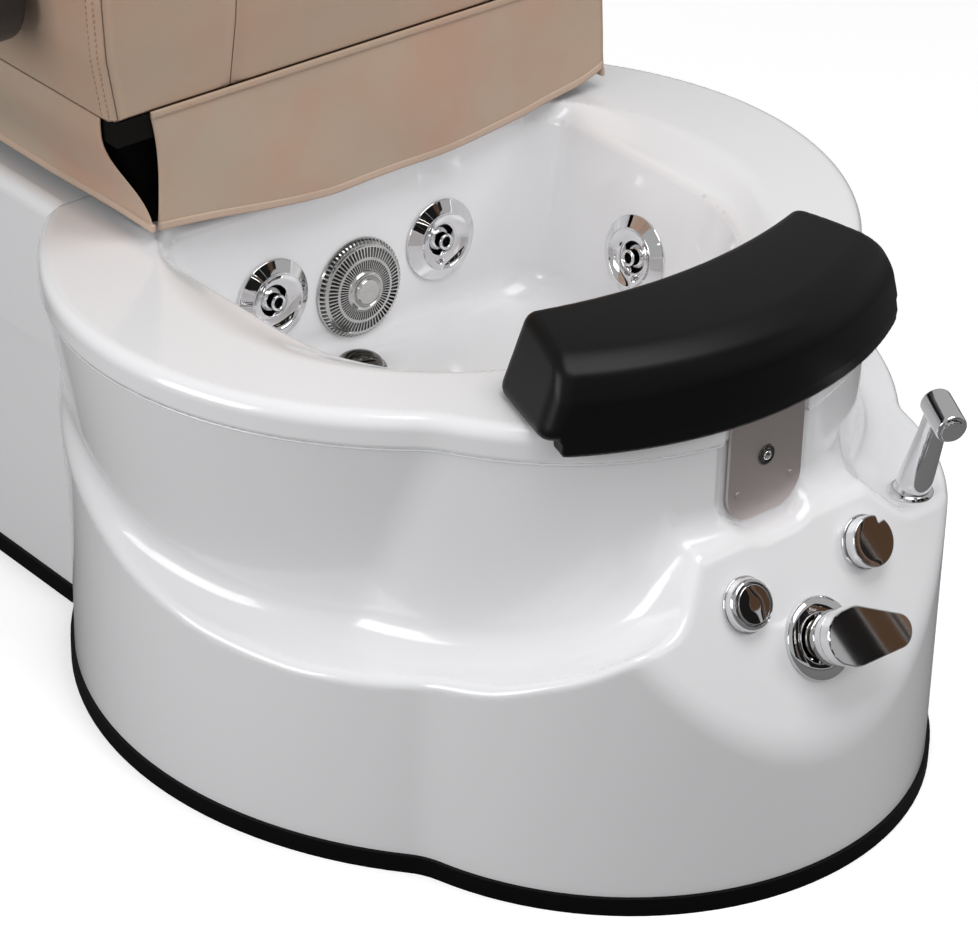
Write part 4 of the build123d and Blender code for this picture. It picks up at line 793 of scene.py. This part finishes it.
def back_cushion(x, y, z):
    """A rounded slab in the board's own frame, bulging forwards between its seams."""
    dy, dz = y - TUB_Y - BACK_HINGE_Y, z - BACK_HINGE_Z
    deep = dy * math.cos(BACK_LEAN) - dz * math.sin(BACK_LEAN)
    high = dy * math.sin(BACK_LEAN) + dz * math.cos(BACK_LEAN)
    side = np.abs(x) - np.interp(high, *BACK_EDGE)
    plan = round_meet(side, high - BACK_TOP, BACK_TOP_R)
    plan = round_meet(plan, BACK_LOW - high, BACK_LOW_R)
    seam = sum(dip(high, at, BACK_SEAM_DIP, BACK_SEAM_W) for at in BACK_SEAMS)
    seam = seam * (np.abs(x) < BOLSTER_X)
    bolster = dip(np.abs(x), BOLSTER_X, BOLSTER_DIP, BOLSTER_W)
    full = BACK_THICK + (BACK_CROWN * (1 - (x / BACK_CROWN_HALF_W)**2)
                         * (1 - ((high - BACK_CROWN_AT) / BACK_CROWN_HALF_H)**2))
    front = -deep - full + np.maximum(seam, bolster)
    return round_meet(round_meet(plan, front, BACK_FRONT_R), deep + BOARD_CLEAR, BACK_REAR_R)


back = surface_piece("back_cushion_skin", back_cushion, (-0.30, TUB_Y + 0.58, 0.64),
                     (0.305, TUB_Y + 0.85, 1.29), BACK_STEP, tan_leather)
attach(back, "back")
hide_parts("back_cushion")

# ---------------------------------------------------------------- the arm pads
# Short padded tops on the moulded armrests: foam under the same black leather as on the
# footrest, crowned across and along. Each swings up with its armrest.
ARM_STEP = 0.004
ARM_FALL, ARM_END_FALL = 0.004, 0.006           # how far the top falls to the edges and ends
ARM_CORNER_R, ARM_TOP_R, ARM_LOW_R = 0.024, 0.014, 0.004
for side in ("left", "right"):
    pad_low, pad_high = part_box("arm_pad_" + side)

    def arm_pad(x, y, z):
        """A rounded bar, a little lower at its ends and edges."""
        half_w, half_l = (pad_high.x - pad_low.x) / 2, (pad_high.y - pad_low.y) / 2
        u = (x - (pad_low.x + pad_high.x) / 2) / half_w
        v = (y - (pad_low.y + pad_high.y) / 2) / half_l
        across, along = (np.abs(u) - 1) * half_w, (np.abs(v) - 1) * half_l
        top = z - pad_high.z + ARM_FALL * u**2 + ARM_END_FALL * v**4
        body = round_meet(round_meet(across, along, ARM_CORNER_R), top, ARM_TOP_R)
        return round_meet(body, pad_low.z + PAN_CLEAR - z, ARM_LOW_R)
    arm = surface_piece(f"arm_pad_{side}_skin", arm_pad, np.array(pad_low) - 0.006,
                        np.array(pad_high) + 0.010, ARM_STEP, black_leather)
    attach(arm, "arm_" + side)
    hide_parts("arm_pad_" + side)

# ---------------------------------------------------------------- jets and suction cover
# Chrome-plated fittings on the bowl's wall: dished jet faces round tilting nozzles, and a
# suction cover with three rings of fine radial slots round a polished hub.
SUCTION_Z = 0.308
SLOT_COUNT, SLOT_COLUMNS = 66, 6
SLOT_RINGS = ((0.0215, 0.0305), (0.0335, 0.0430), (0.0462, 0.0500))
SLOT_DEPTH = 0.0035
COVER_R, COVER_BACK = 0.051, 0.0004
SOLID_CREASE, RING_CREASE, SLOT_CREASE = 24, 32, 28         # degrees
chrome, _ = finish("chrome", (0.82, 0.82, 0.83), 0.03, metal=1.0)
satin, _ = finish("silver_plastic", (0.60, 0.60, 0.59), 0.20, metal=0.9)
# near black and matt: painted shade for the insides of the cover's slots and the nozzles' bores
painted_bore_shade, _ = finish("painted_bore_shade", (0.01, 0.01, 0.01), 0.6)


def spun(profile, columns, place):
    """Points and faces of a turned solid from (radius, height) rows, from the top down, its two
    ends closed by a point on the axis: origin + r (cos a across + sin a up) + h out. Radius and
    height may be arrays that vary around the turn."""
    origin, across, out = place
    up = np.cross(out, across)
    angle = np.linspace(0, 2 * math.pi, columns, endpoint=False)
    flat = np.cos(angle)[:, None] * across + np.sin(angle)[:, None] * up
    rows = [origin + np.broadcast_to(r, columns)[:, None] * flat
            + np.broadcast_to(h, columns)[:, None] * out for r, h in profile[1:-1]]
    ends = [origin + profile[0][1] * out, origin + profile[-1][1] * out]
    points = np.concatenate([np.concatenate(rows), np.array(ends)])
    here, low = np.arange(columns), (len(rows) - 1) * columns
    after = np.roll(here, -1)
    top = np.stack([here, after, np.full(columns, len(points) - 2)], axis=1)
    bottom = np.stack([low + after, low + here, np.full(columns, len(points) - 1)], axis=1)
    sides = ring_faces(len(rows), columns)[:, ::-1]
    return points, sides.tolist() + top.tolist() + bottom.tolist()


columns = SLOT_COUNT * SLOT_COLUMNS
slot_here = np.isin(np.arange(columns) % SLOT_COLUMNS, (1, 2, 3))
dome = smooth_line([(0.0, 0.0185), (0.0125, 0.0178), (0.0145, 0.0135), (0.017, 0.0165),
                    (0.0195, 0.0155), (0.021, 0.0125), (0.032, 0.0118), (0.0445, 0.0092),
                    (0.049, 0.0060), (COVER_R, 0.0020)], 0.0012, 0.0, COVER_R)
radii = np.unique(np.concatenate(
    [np.linspace(0.001, COVER_R, 46)]
    + [np.array((a - 1e-4, a + 1e-4, b - 1e-4, b + 1e-4)) for a, b in SLOT_RINGS]))
cut = np.any([(a < radii) & (radii < b) for a, b in SLOT_RINGS], axis=0)
rows = [(0, float(np.interp(0, *dome)))]
rows += [(r, np.interp(r, *dome) - SLOT_DEPTH * (slot_here & c)) for r, c in zip(radii, cut)]
rows += [(COVER_R, COVER_BACK), (0, COVER_BACK)]
suction = mesh_piece("suction_grille", *spun(rows, columns, wall_frame(0, SUCTION_Z)), satin,
                     "tub", "silver_plastic")
suction.data.materials.append(painted_bore_shade)
suction.data.set_sharp_from_angle(angle=math.radians(SLOT_CREASE))
# the slots' floors take the near-black finish: painted shade inside the slots
slot_floor = np.isin(np.arange(columns) % SLOT_COLUMNS, (1, 2))
dark = np.zeros(len(suction.data.polygons), np.int32)
dark[:len(radii) * columns] = (cut[:, None] & slot_floor).ravel()
suction.data.polygons.foreach_set("material_index", dark)
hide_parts("suction_cover")


def turned_ring(loop, columns, place):
    """Points and faces of a ring turned from a closed loop of (radius, height) corners."""
    origin, across, out = place
    up = np.cross(out, across)
    angle = np.linspace(0, 2 * math.pi, columns, endpoint=False)
    flat = np.cos(angle)[:, None] * across + np.sin(angle)[:, None] * up
    points = np.concatenate([origin + r * flat + h * out for r, h in loop])
    return points, ring_faces(len(loop), columns, closed=True)[:, [0, 3, 2, 1]].tolist()


def arc(centre, radii, start, end, steps):
    """Corners along an elliptical arc, angles in degrees from the radius axis."""
    turn = np.radians(np.linspace(start, end, steps))
    return [(centre[0] + radii[0] * math.cos(t), centre[1] + radii[1] * math.sin(t)) for t in turn]


def plated(name, loop, place, body, nodes=(), material=chrome, columns=96):
    """A turned ring of plated metal, crisp where its section turns sharply."""
    ring = mesh_piece(name, *turned_ring(loop, columns, place), material, body, "chrome")
    ring.data.set_sharp_from_angle(angle=math.radians(RING_CREASE))
    if nodes:
        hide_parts(*nodes)
    return ring


JET_SECTION = ([(0.0236, 0.0004), (0.0420, 0.0004), (0.0420, 0.0020)]
               + arc((0.0400, 0.0020), (0.0020, 0.0018), 0, 62, 5)
               + [(0.0305, 0.0096)] + arc((0.0296, 0.0088), (0.0012, 0.0012), 60, 150, 5)
               + [(0.0262, 0.0072), (0.0215, 0.0054), (0.0178, 0.0046)]
               + arc((0.0172, 0.0032), (0.0014, 0.0014), 80, 180, 5)
               + [(0.0150, -0.0050), (0.0140, -0.0150), (0.0236, -0.0150)])
NOZZLE_SECTION = ([(0.0044, -0.0120), (0.0110, -0.0120), (0.0127, -0.0085), (0.0129, -0.0050),
                   (0.0118, -0.0005), (0.0098, 0.0020), (0.0084, 0.0030), (0.0082, 0.0095)]
                  + arc((0.0068, 0.0100), (0.0016, 0.0022), 0, 180, 9) + [(0.0046, 0.0070)])
SPOUT_COLUMNS = 64
for name, place in JETS:
    first = ["jet_faces"] if name == "rear_left" else []
    plated("jet_ring_" + name, JET_SECTION, place, "tub", first)
    nozzle = plated("jet_spout_" + name, NOZZLE_SECTION, place, "nozzle_" + name,
                    ["jet_nozzle_" + name], columns=SPOUT_COLUMNS)
    nozzle.data.materials.append(painted_bore_shade)
    # the faces round each spout's bore take the near-black finish: painted shade inside the bore
    inner = np.zeros(len(nozzle.data.polygons), np.int32)
    inner[-SPOUT_COLUMNS:] = 1
    nozzle.data.polygons.foreach_set("material_index", inner)

dark_chrome, _ = finish("dark_chrome", (0.13, 0.125, 0.115), 0.07, metal=1.0)


def polished(name, profile, place, body, node, material=chrome, columns=96):
    """A turned solid of plated metal in place of a node, from (radius, height) rows."""
    piece = mesh_piece(name, *spun(profile, columns, place), material, body, "chrome")
    piece.data.set_sharp_from_angle(angle=math.radians(SOLID_CREASE))
    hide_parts(node)


STOPPER_R, STOPPER_EDGE, STOPPER_RISE = 0.023, 0.0060, 0.0108
stopper_dome = [(STOPPER_R * math.sin(t), STOPPER_EDGE + STOPPER_RISE * math.cos(t))
                for t in np.linspace(0.06, math.pi / 2, 16)]
polished("stopper_dome", [(0, 0.0168)] + stopper_dome
         + [(STOPPER_R, 0.0034), (0.0040, 0.0033), (0.0040, -0.0300), (0, -0.0300)],
         DRAIN, "stopper", "drain_stopper", dark_chrome)

# ---------------------------------------------------------------- the taps on the console
# A push button, a notched diverter knob and a single-lever mixer, all plated brass, each turned
# and polished, screwed through the tap face from outside and nutted behind it.


def face_frame(across, up):
    """Origin and axes of a fitting on the sloping tap face, the third axis out of it."""
    place = (across, TUB_Y + FACE_Y + up * math.cos(FACE_LEAN), FACE_Z + up * math.sin(FACE_LEAN))
    return np.array(place), ACROSS, np.array((0, -math.sin(FACE_LEAN), math.cos(FACE_LEAN)))


BUTTON, KNOB, MIXER = face_frame(-0.060, 0.138), face_frame(0.086, 0.146), face_frame(0.008, 0.083)
BEZEL_SECTION = ([(0.0184, 0.0010), (0.0184, -0.0300), (0.0200, -0.0300), (0.0200, 0.0004),
                  (0.0258, 0.0004), (0.0258, 0.0014)]
                 + arc((0.0246, 0.0014), (0.0012, 0.0012), 0, 90, 4)
                 + [(0.0240, 0.0045)] + arc((0.0192, 0.0055), (0.0048, 0.0071), 0, 90, 12)
                 + [(0.0186, 0.0124), (0.0184, 0.0118)])
CAP_SECTION = ([(0, 0.0131), (0.006, 0.0131), (0.0160, 0.0130), (0.0166, 0.0129)]
               + arc((0.0168, 0.0117), (0.0012, 0.0012), 85, 0, 6)
               + [(0.0180, 0.0062), (0.0040, 0.0062), (0.0040, -0.0380), (0, -0.0380)])
plated("button_bezel", BEZEL_SECTION, BUTTON, "tub", ["push_button_bezel"])
polished("button_cap", CAP_SECTION, BUTTON, "push_button", "push_button_cap")

# the diverter: its cap has a notch in the edge, cut to a square corner
BASE_SECTION = ([(0.0052, 0.0004), (0.0252, 0.0004), (0.0252, 0.0014)]
                + arc((0.0237, 0.0014), (0.0015, 0.0020), 0, 90, 6) + [(0.0052, 0.0038)])
KNOB_COLUMNS, KNOB_R, KNOB_TOP = 144, 0.0235, 0.0165
NOTCH_TURN, NOTCH_IN, NOTCH_HALF = math.radians(52), 0.0175, 0.6
plated("knob_base", BASE_SECTION, KNOB, "tub", ["diverter_base"])
turn = np.linspace(0, 2 * math.pi, KNOB_COLUMNS, endpoint=False) - NOTCH_TURN
off = np.abs(np.angle(np.exp(1j * turn)))
edge = NOTCH_IN / np.maximum(np.cos(off) - np.sin(off), 0.2)
notch = np.where(off < NOTCH_HALF, np.minimum(1, edge / KNOB_R), 1)
knob_section = ([(0, KNOB_TOP), (0.006, KNOB_TOP), (0.0165 * notch, KNOB_TOP),
                 (0.0215 * notch, KNOB_TOP), (0.0219 * notch, 0.01648)]
                + [(r * notch, h) for r, h in arc((0.0220, 0.0150), (0.0015, 0.0015), 82, 0, 6)]
                + [(KNOB_R * notch, 0.0048), (0.0230 * notch, 0.0043), (0.0050, 0.0043),
                   (0.0050, -0.0380), (0, -0.0380)])
polished("knob_cap", knob_section, KNOB, "diverter", "diverter_knob", columns=KNOB_COLUMNS)

# the mixer: a domed rose, and a cup that turns with the lever's flat-topped blade
ROSE_SECTION = ([(0.0216, 0.0004), (0.0382, 0.0004), (0.0382, 0.0016)]
                + arc((0.0216, 0.0016), (0.0166, 0.0074), 4, 90, 14))
CUP_SECTION = ([(0.0226, 0.0180), (0.0240, 0.0180)]
               + arc((0.0238, 0.0192), (0.0012, 0.0012), -80, 0, 4)
               + [(0.0250, 0.0303), (0.0226, 0.0303)])
LEVER_TURN = math.radians(-14)
BLADE_COLUMNS, BLADE_CREASE = 180, 9
BLADE_CENTRES = np.array((0, 0.008, 0.056))     # the teardrop's three circles
BLADE_RADII = np.array((0.025, 0.027, 0.016))
COLLAR_ROOM = ((0.0170, 0.0345), (0.0222, 0.0305))
BLADE_FOOT = ((0.0010, 0.0), (0.0, 0.0010))     # inset and height over the underside
BLADE_TOP = ((0.0, 0.0418), (0.00035, 0.04265), (0.0012, 0.0430), (0.0017, 0.0430))
plated("mixer_rose", ROSE_SECTION, MIXER, "tub", ["mixer_escutcheon"])
face_up = np.cross(MIXER[2], MIXER[1])
LEVER = (MIXER[0], math.cos(LEVER_TURN) * MIXER[1] + math.sin(LEVER_TURN) * face_up, MIXER[2])
plated("mixer_cup", CUP_SECTION, LEVER, "mixer_lever")


def lever_blade(place):
    """Points and faces of rings round the teardrop that three circles span, from the room for
    the collar in its thinned underside up to the flat top. The teardrop's edge is the circles'
    farthest point in each direction; the underside rises in a plane towards the tip."""
    origin, across, out = place
    angle = np.linspace(0, 2 * math.pi, BLADE_COLUMNS, endpoint=False)
    reach = BLADE_CENTRES[:, None] * np.cos(angle) + BLADE_RADII[:, None]
    circle = np.argmax(reach, axis=0)

    def edge(inset):
        r = BLADE_RADII[circle] - inset
        return BLADE_CENTRES[circle] + r * np.cos(angle), r * np.sin(angle)
    rings = [(r * np.cos(angle), r * np.sin(angle), height) for r, height in COLLAR_ROOM]
    for inset, above in BLADE_FOOT:
        x, y = edge(inset)
        rings.append((x, y, np.maximum(0.0303, 0.03406 + 0.1405 * (x - 0.070)) + above))
    rings += [(*edge(inset), height) for inset, height in BLADE_TOP]
    points = np.concatenate([
        origin + x[:, None] * across + y[:, None] * np.cross(out, across)
        + np.broadcast_to(h, BLADE_COLUMNS)[:, None] * out for x, y, h in rings])
    last = (len(rings) - 1) * BLADE_COLUMNS
    faces = ring_faces(len(rings), BLADE_COLUMNS).tolist()
    faces += [list(range(last, last + BLADE_COLUMNS)), list(range(BLADE_COLUMNS))[::-1]]
    return points, faces


blade = mesh_piece("lever_blade", *lever_blade(LEVER), chrome, "mixer_lever", "chrome")
blade.data.set_sharp_from_angle(angle=math.radians(BLADE_CREASE))
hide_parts("mixer_lever")

# ---------------------------------------------------------------- the hand shower
# A plated hand shower standing in a leaning socket on the console's ledge: a waisted grip with
# its round plug, and a short barrel with the spray face across the top. It lifts straight out.
STAND = np.array((0.176, TUB_Y - 0.446, 0.283))
GRIP_LEAN = math.radians(15)
GRIP = (STAND, ACROSS, np.array((0, -math.sin(GRIP_LEAN), math.cos(GRIP_LEAN))))
HEAD_AT = 0.103                                 # how far up the grip the barrel sits
SPRAY_AIM = np.array((-0.35, -0.85, -0.20))
SHOWER_COLUMNS = 72
SOCKET_SECTION = ([(0.0092, 0.0004), (0.0215, 0.0004), (0.0215, 0.0020)]
                  + arc((0.0150, 0.0020), (0.0065, 0.0050), 0, 80, 8)
                  + [(0.0135, 0.0105), (0.0092, 0.0110)])
GRIP_LOW, GRIP_TOP = 0.0125, 0.104
grip_line = smooth_line([(GRIP_LOW, 0.0162), (0.018, 0.0164), (0.040, 0.0150), (0.070, 0.0130),
                         (GRIP_TOP, 0.0124)], 0.008, GRIP_LOW, GRIP_TOP)
grip_section = [(0, -0.0300), (0.0088, -0.0300), (0.0088, 0.0112), (0.0150, 0.0115)]
grip_section += [(float(np.interp(h, *grip_line)), h) for h in np.linspace(GRIP_LOW, 0.102, 30)]
grip_section += [(0.0090, 0.1065), (0, 0.1075)]
BARREL_SECTION = ([(0, -0.0135), (0.0080, -0.0133)]
                  + arc((0.0115, -0.0100), (0.0033, 0.0033), -80, 0, 6)
                  + [(0.0149, 0.0), (0.0149, 0.0240)]
                  + arc((0.0135, 0.0250), (0.0014, 0.0036), 0, 80, 6)
                  + [(0.0114, 0.0288), (0.0112, 0.0312), (0.0108, 0.0316), (0, 0.0318)])
aim = SPRAY_AIM / math.hypot(*SPRAY_AIM)
sideways = np.cross(aim, UPWARD) / np.linalg.norm(np.cross(aim, UPWARD))
plated("shower_socket", SOCKET_SECTION, (STAND, ACROSS, UPWARD), "tub", ["shower_flange"],
       columns=SHOWER_COLUMNS)
polished("shower_grip", grip_section[::-1], GRIP, "hand_shower", "shower_handle",
         columns=SHOWER_COLUMNS)
polished("shower_barrel", BARREL_SECTION[::-1], (STAND + HEAD_AT * GRIP[2], sideways, aim),
         "hand_shower", "shower_head", columns=SHOWER_COLUMNS)

# ---------------------------------------------------------------- the footrest's lock
# A sprung steel button in a dark plated collar, through the stainless plate. Pressed in, it
# frees the post so that the footrest can be set higher or lower.
LOCK = (np.array((0, TUB_Y - 0.4331, 0.381)), ACROSS, np.array((0, -1, 0)))
LOCK_COLUMNS = 48
COLLAR_SECTION = ([(0.0054, 0.0002), (0.0096, 0.0002), (0.0096, 0.0006)]
                  + arc((0.0084, 0.0006), (0.0012, 0.0012), 0, 90, 4)
                  + [(0.0062, 0.0014), (0.0054, 0.0008)])
NOSE_SECTION = ([(0, 0.0042), (0.0012, 0.0041)] + arc((0, 0.0010), (0.0048, 0.0031), 70, 0, 6)
                + [(0.0048, -0.0300), (0, -0.0300)])
plated("lock_collar", COLLAR_SECTION, LOCK, "tub", material=dark_chrome, columns=LOCK_COLUMNS)
polished("lock_nose", NOSE_SECTION, LOCK, "lock_button", "lock_button", columns=LOCK_COLUMNS)

# ---------------------------------------------------------------- finishes of the CAD pieces
# Everything that shows as it was built: kick strips, rails and frame, brackets, the stainless
# plate, the back's board and cover. Each takes the finish that its record names.
LOOKS = {                                       # colour, roughness and how metallic
    "black_rubber": ((0.0035, 0.0033, 0.0033), 0.5, 0.0),
    "grey_plastic": ((0.35, 0.35, 0.36), 0.5, 0.0),
    "brass": ((0.12, 0.10, 0.07), 0.3, 1.0),
    "brushed_steel": ((0.70, 0.62, 0.61), 0.40, 1.0),
    "zinc_steel": ((0.5, 0.5, 0.52), 0.4, 1.0),
    # dark_paint: black paint made darker still, partly painted shade for the dark gap under the seat
    "dark_paint": ((0.006, 0.006, 0.0065), 0.6, 0.0),
    # plywood: near black in place of the wood's own tone, painted shade for the dark gap under the
    # seat
    "plywood": ((0.006, 0.0055, 0.005), 0.9, 0.0),
    "dark_plastic": ((0.02, 0.017, 0.017), 0.4, 0.0),
}
BLACK_UNDER, BLACK_GLOSS, GLOSS = 0.01, 0.1, 0.5
finishes = {"white_acrylic": acrylic, "chrome": chrome, "silver_plastic": satin,
            "black_leather": black_leather, "tan_leather": tan_leather}
for slot, (colour, rough, metal) in LOOKS.items():
    finishes[slot], shader = finish(slot, colour, rough, metal)
    gloss = BLACK_GLOSS if max(colour) < BLACK_UNDER else GLOSS
    shader.inputs["Specular IOR Level"].default_value = gloss
for row in frame["record"]["subparts"]:
    for spot in frame["nodes"][row["node"]].material_slots:
        spot.material = finishes[row["material_slot"]]

# ---------------------------------------------------------------- camera
# A long lens a few paces off, in front of the chair and to one side, above the rim and looking
# down on the tub, so that little of the seat and nothing of the back comes into the frame.
CAMERA_PLACE = (-2.1595, TUB_Y - 2.5488, 2.1341)
CAMERA_TURN = (59.5547, -1.3079, -40.2415)      # degrees about x, y and z
camera = bpy.data.objects.new("camera", bpy.data.cameras.new("camera"))
bpy.context.scene.collection.objects.link(camera)
camera.data.lens = 147.24
camera.data.sensor_width = 36
camera.data.clip_end = 30
camera.location = CAMERA_PLACE
camera.rotation_euler = [math.radians(a) for a in CAMERA_TURN]
bpy.context.scene.camera = camera

# ---------------------------------------------------------------- studio
# Four soft boxes round the chair on a pale floor that runs out to white. Dark boards stand in
# front of it, which only its polished fittings show: black, with brown and tan bars.


def lamp(name, place, aim, size, power):
    """A softbox at place, aimed at a point."""
    data = bpy.data.lights.new(name, "AREA")
    data.shape = "RECTANGLE"
    data.size, data.size_y = size
    data.energy = power
    box = bpy.data.objects.new(name, data)
    bpy.context.scene.collection.objects.link(box)
    back = np.array(place, float) - np.array(aim, float)
    side = np.cross(UPWARD, back)
    side = side / np.linalg.norm(side)
    back = back / np.linalg.norm(back)
    axes = np.stack([side, np.cross(back, side), back], axis=1)
    box.matrix_world = Matrix([[*row, p] for row, p in zip(axes, place)] + [[0, 0, 0, 1]])


lamp("top_box", (0.1, -1.0, 2.7), (0, -0.2, 0.4), (1.8, 1.2), 25.5)
lamp("left_box", (-2.6, 0.1, 1.2), (0, 0.0, 0.4), (1.4, 1.2), 27)
lamp("front_box", (-0.3, -3.0, 1.8), (0, -0.1, 0.5), (1.2, 0.8), 8)
lamp("right_box", (1.6, -2.5, 1.8), (0, -0.1, 0.4), (0.9, 0.9), 13)


def board(name, corners, material):
    """A flat four-sided piece of the stage."""
    mesh = bpy.data.meshes.new(name)
    mesh.from_pydata(corners, [], [(0, 1, 2, 3)])
    mesh.materials.append(material)
    piece = bpy.data.objects.new(name, mesh)
    bpy.context.scene.collection.objects.link(piece)
    return piece


CARD_GLOWS = {"black": (0.0115, 0.0105, 0.0100), "brown": (0.082, 0.047, 0.027),
              "tan": (0.16, 0.095, 0.058)}
CARD_Y, CARD_TOP_Z, CARD_STEP = TUB_Y - 1.90, 2.2, 0.002
CARDS = [(-0.90, -0.33, 0.30, "black"), (-0.30, -0.16, 0.30, "brown"),
         (-0.14, 0.30, 0.30, "black"), (0.33, 1.01, 0.20, "black"), (1.01, 1.078, 0.63, "brown"),
         (1.078, 1.133, 0.20, "black"), (1.133, 1.172, 0.20, "brown"),
         (1.172, 1.181, 0.20, "black"), (1.181, 1.215, 0.20, "tan"), (1.215, 1.243, 0.20, "black"),
         (1.243, 1.50, 0.20, "brown"), (1.50, 1.90, 0.20, "black")]   # left, right, foot, tone
card_looks = {}
for tone, glow in CARD_GLOWS.items():
    card_looks[tone], shader = finish("card_" + tone, (0, 0, 0), 0.9)
    shader.inputs["Emission Color"].default_value = (*glow, 1)
    shader.inputs["Emission Strength"].default_value = 1.0
    shader.inputs["Specular IOR Level"].default_value = 0.0
for number, (x0, x1, z0, tone) in enumerate(CARDS):
    y, z1 = CARD_Y + CARD_STEP * number, CARD_TOP_Z
    card = board("card", [(x0, y, z1), (x1, y, z1), (x1, y, z0), (x0, y, z0)], card_looks[tone])
    card.visible_camera = card.visible_diffuse = False
    card.visible_shadow = card.visible_transmission = False

# the world lights the chair at one level and is white towards the camera
ROOM_LIGHT = 0.42
world = bpy.data.worlds.new("studio")
bpy.context.scene.world = world
world.use_nodes = True
tree = world.node_tree
background = tree.nodes["Background"]
background.inputs["Color"].default_value = (1, 1, 1, 1)
background.inputs["Strength"].default_value = ROOM_LIGHT
white = tree.nodes.new("ShaderNodeBackground")
white.inputs["Strength"].default_value = 1.0
path = tree.nodes.new("ShaderNodeLightPath")
mix = tree.nodes.new("ShaderNodeMixShader")
tree.links.new(path.outputs["Is Camera Ray"], mix.inputs["Fac"])
tree.links.new(background.outputs["Background"], mix.inputs[1])
tree.links.new(white.outputs["Background"], mix.inputs[2])
tree.links.new(mix.outputs["Shader"], tree.nodes["World Output"].inputs["Surface"])

# the floor keeps the chair's shadow; it is pale towards the camera and darker in what it
# throws back on to the chair
FLOOR_HALF, FLOOR_GLOW = 6, 0.42
FLOOR_PALE, FLOOR_THROWN = (0.88, 0.88, 0.88), (0.16, 0.16, 0.16)
floor_look, floor_shader = finish("floor", FLOOR_PALE, 0.9)
floor_shader.inputs["Emission Color"].default_value = (1, 1, 1, 1)
tree = floor_look.node_tree
path = tree.nodes.new("ShaderNodeLightPath")
glow = tree.nodes.new("ShaderNodeMath")
glow.operation = "MULTIPLY"
glow.inputs[1].default_value = FLOOR_GLOW
tone = tree.nodes.new("ShaderNodeMix")
tone.data_type = "RGBA"
tone.inputs["A"].default_value = (*FLOOR_THROWN, 1)
tone.inputs["B"].default_value = (*FLOOR_PALE, 1)
tree.links.new(path.outputs["Is Camera Ray"], glow.inputs[0])
tree.links.new(glow.outputs["Value"], floor_shader.inputs["Emission Strength"])
tree.links.new(path.outputs["Is Camera Ray"], tone.inputs["Factor"])
tree.links.new(tone.outputs["Result"], floor_shader.inputs["Base Color"])
f = FLOOR_HALF
board("floor", [(-f, -f, 0), (f, -f, 0), (f, f, 0), (-f, f, 0)], floor_look)

bpy.context.scene.view_settings.view_transform = "Standard"
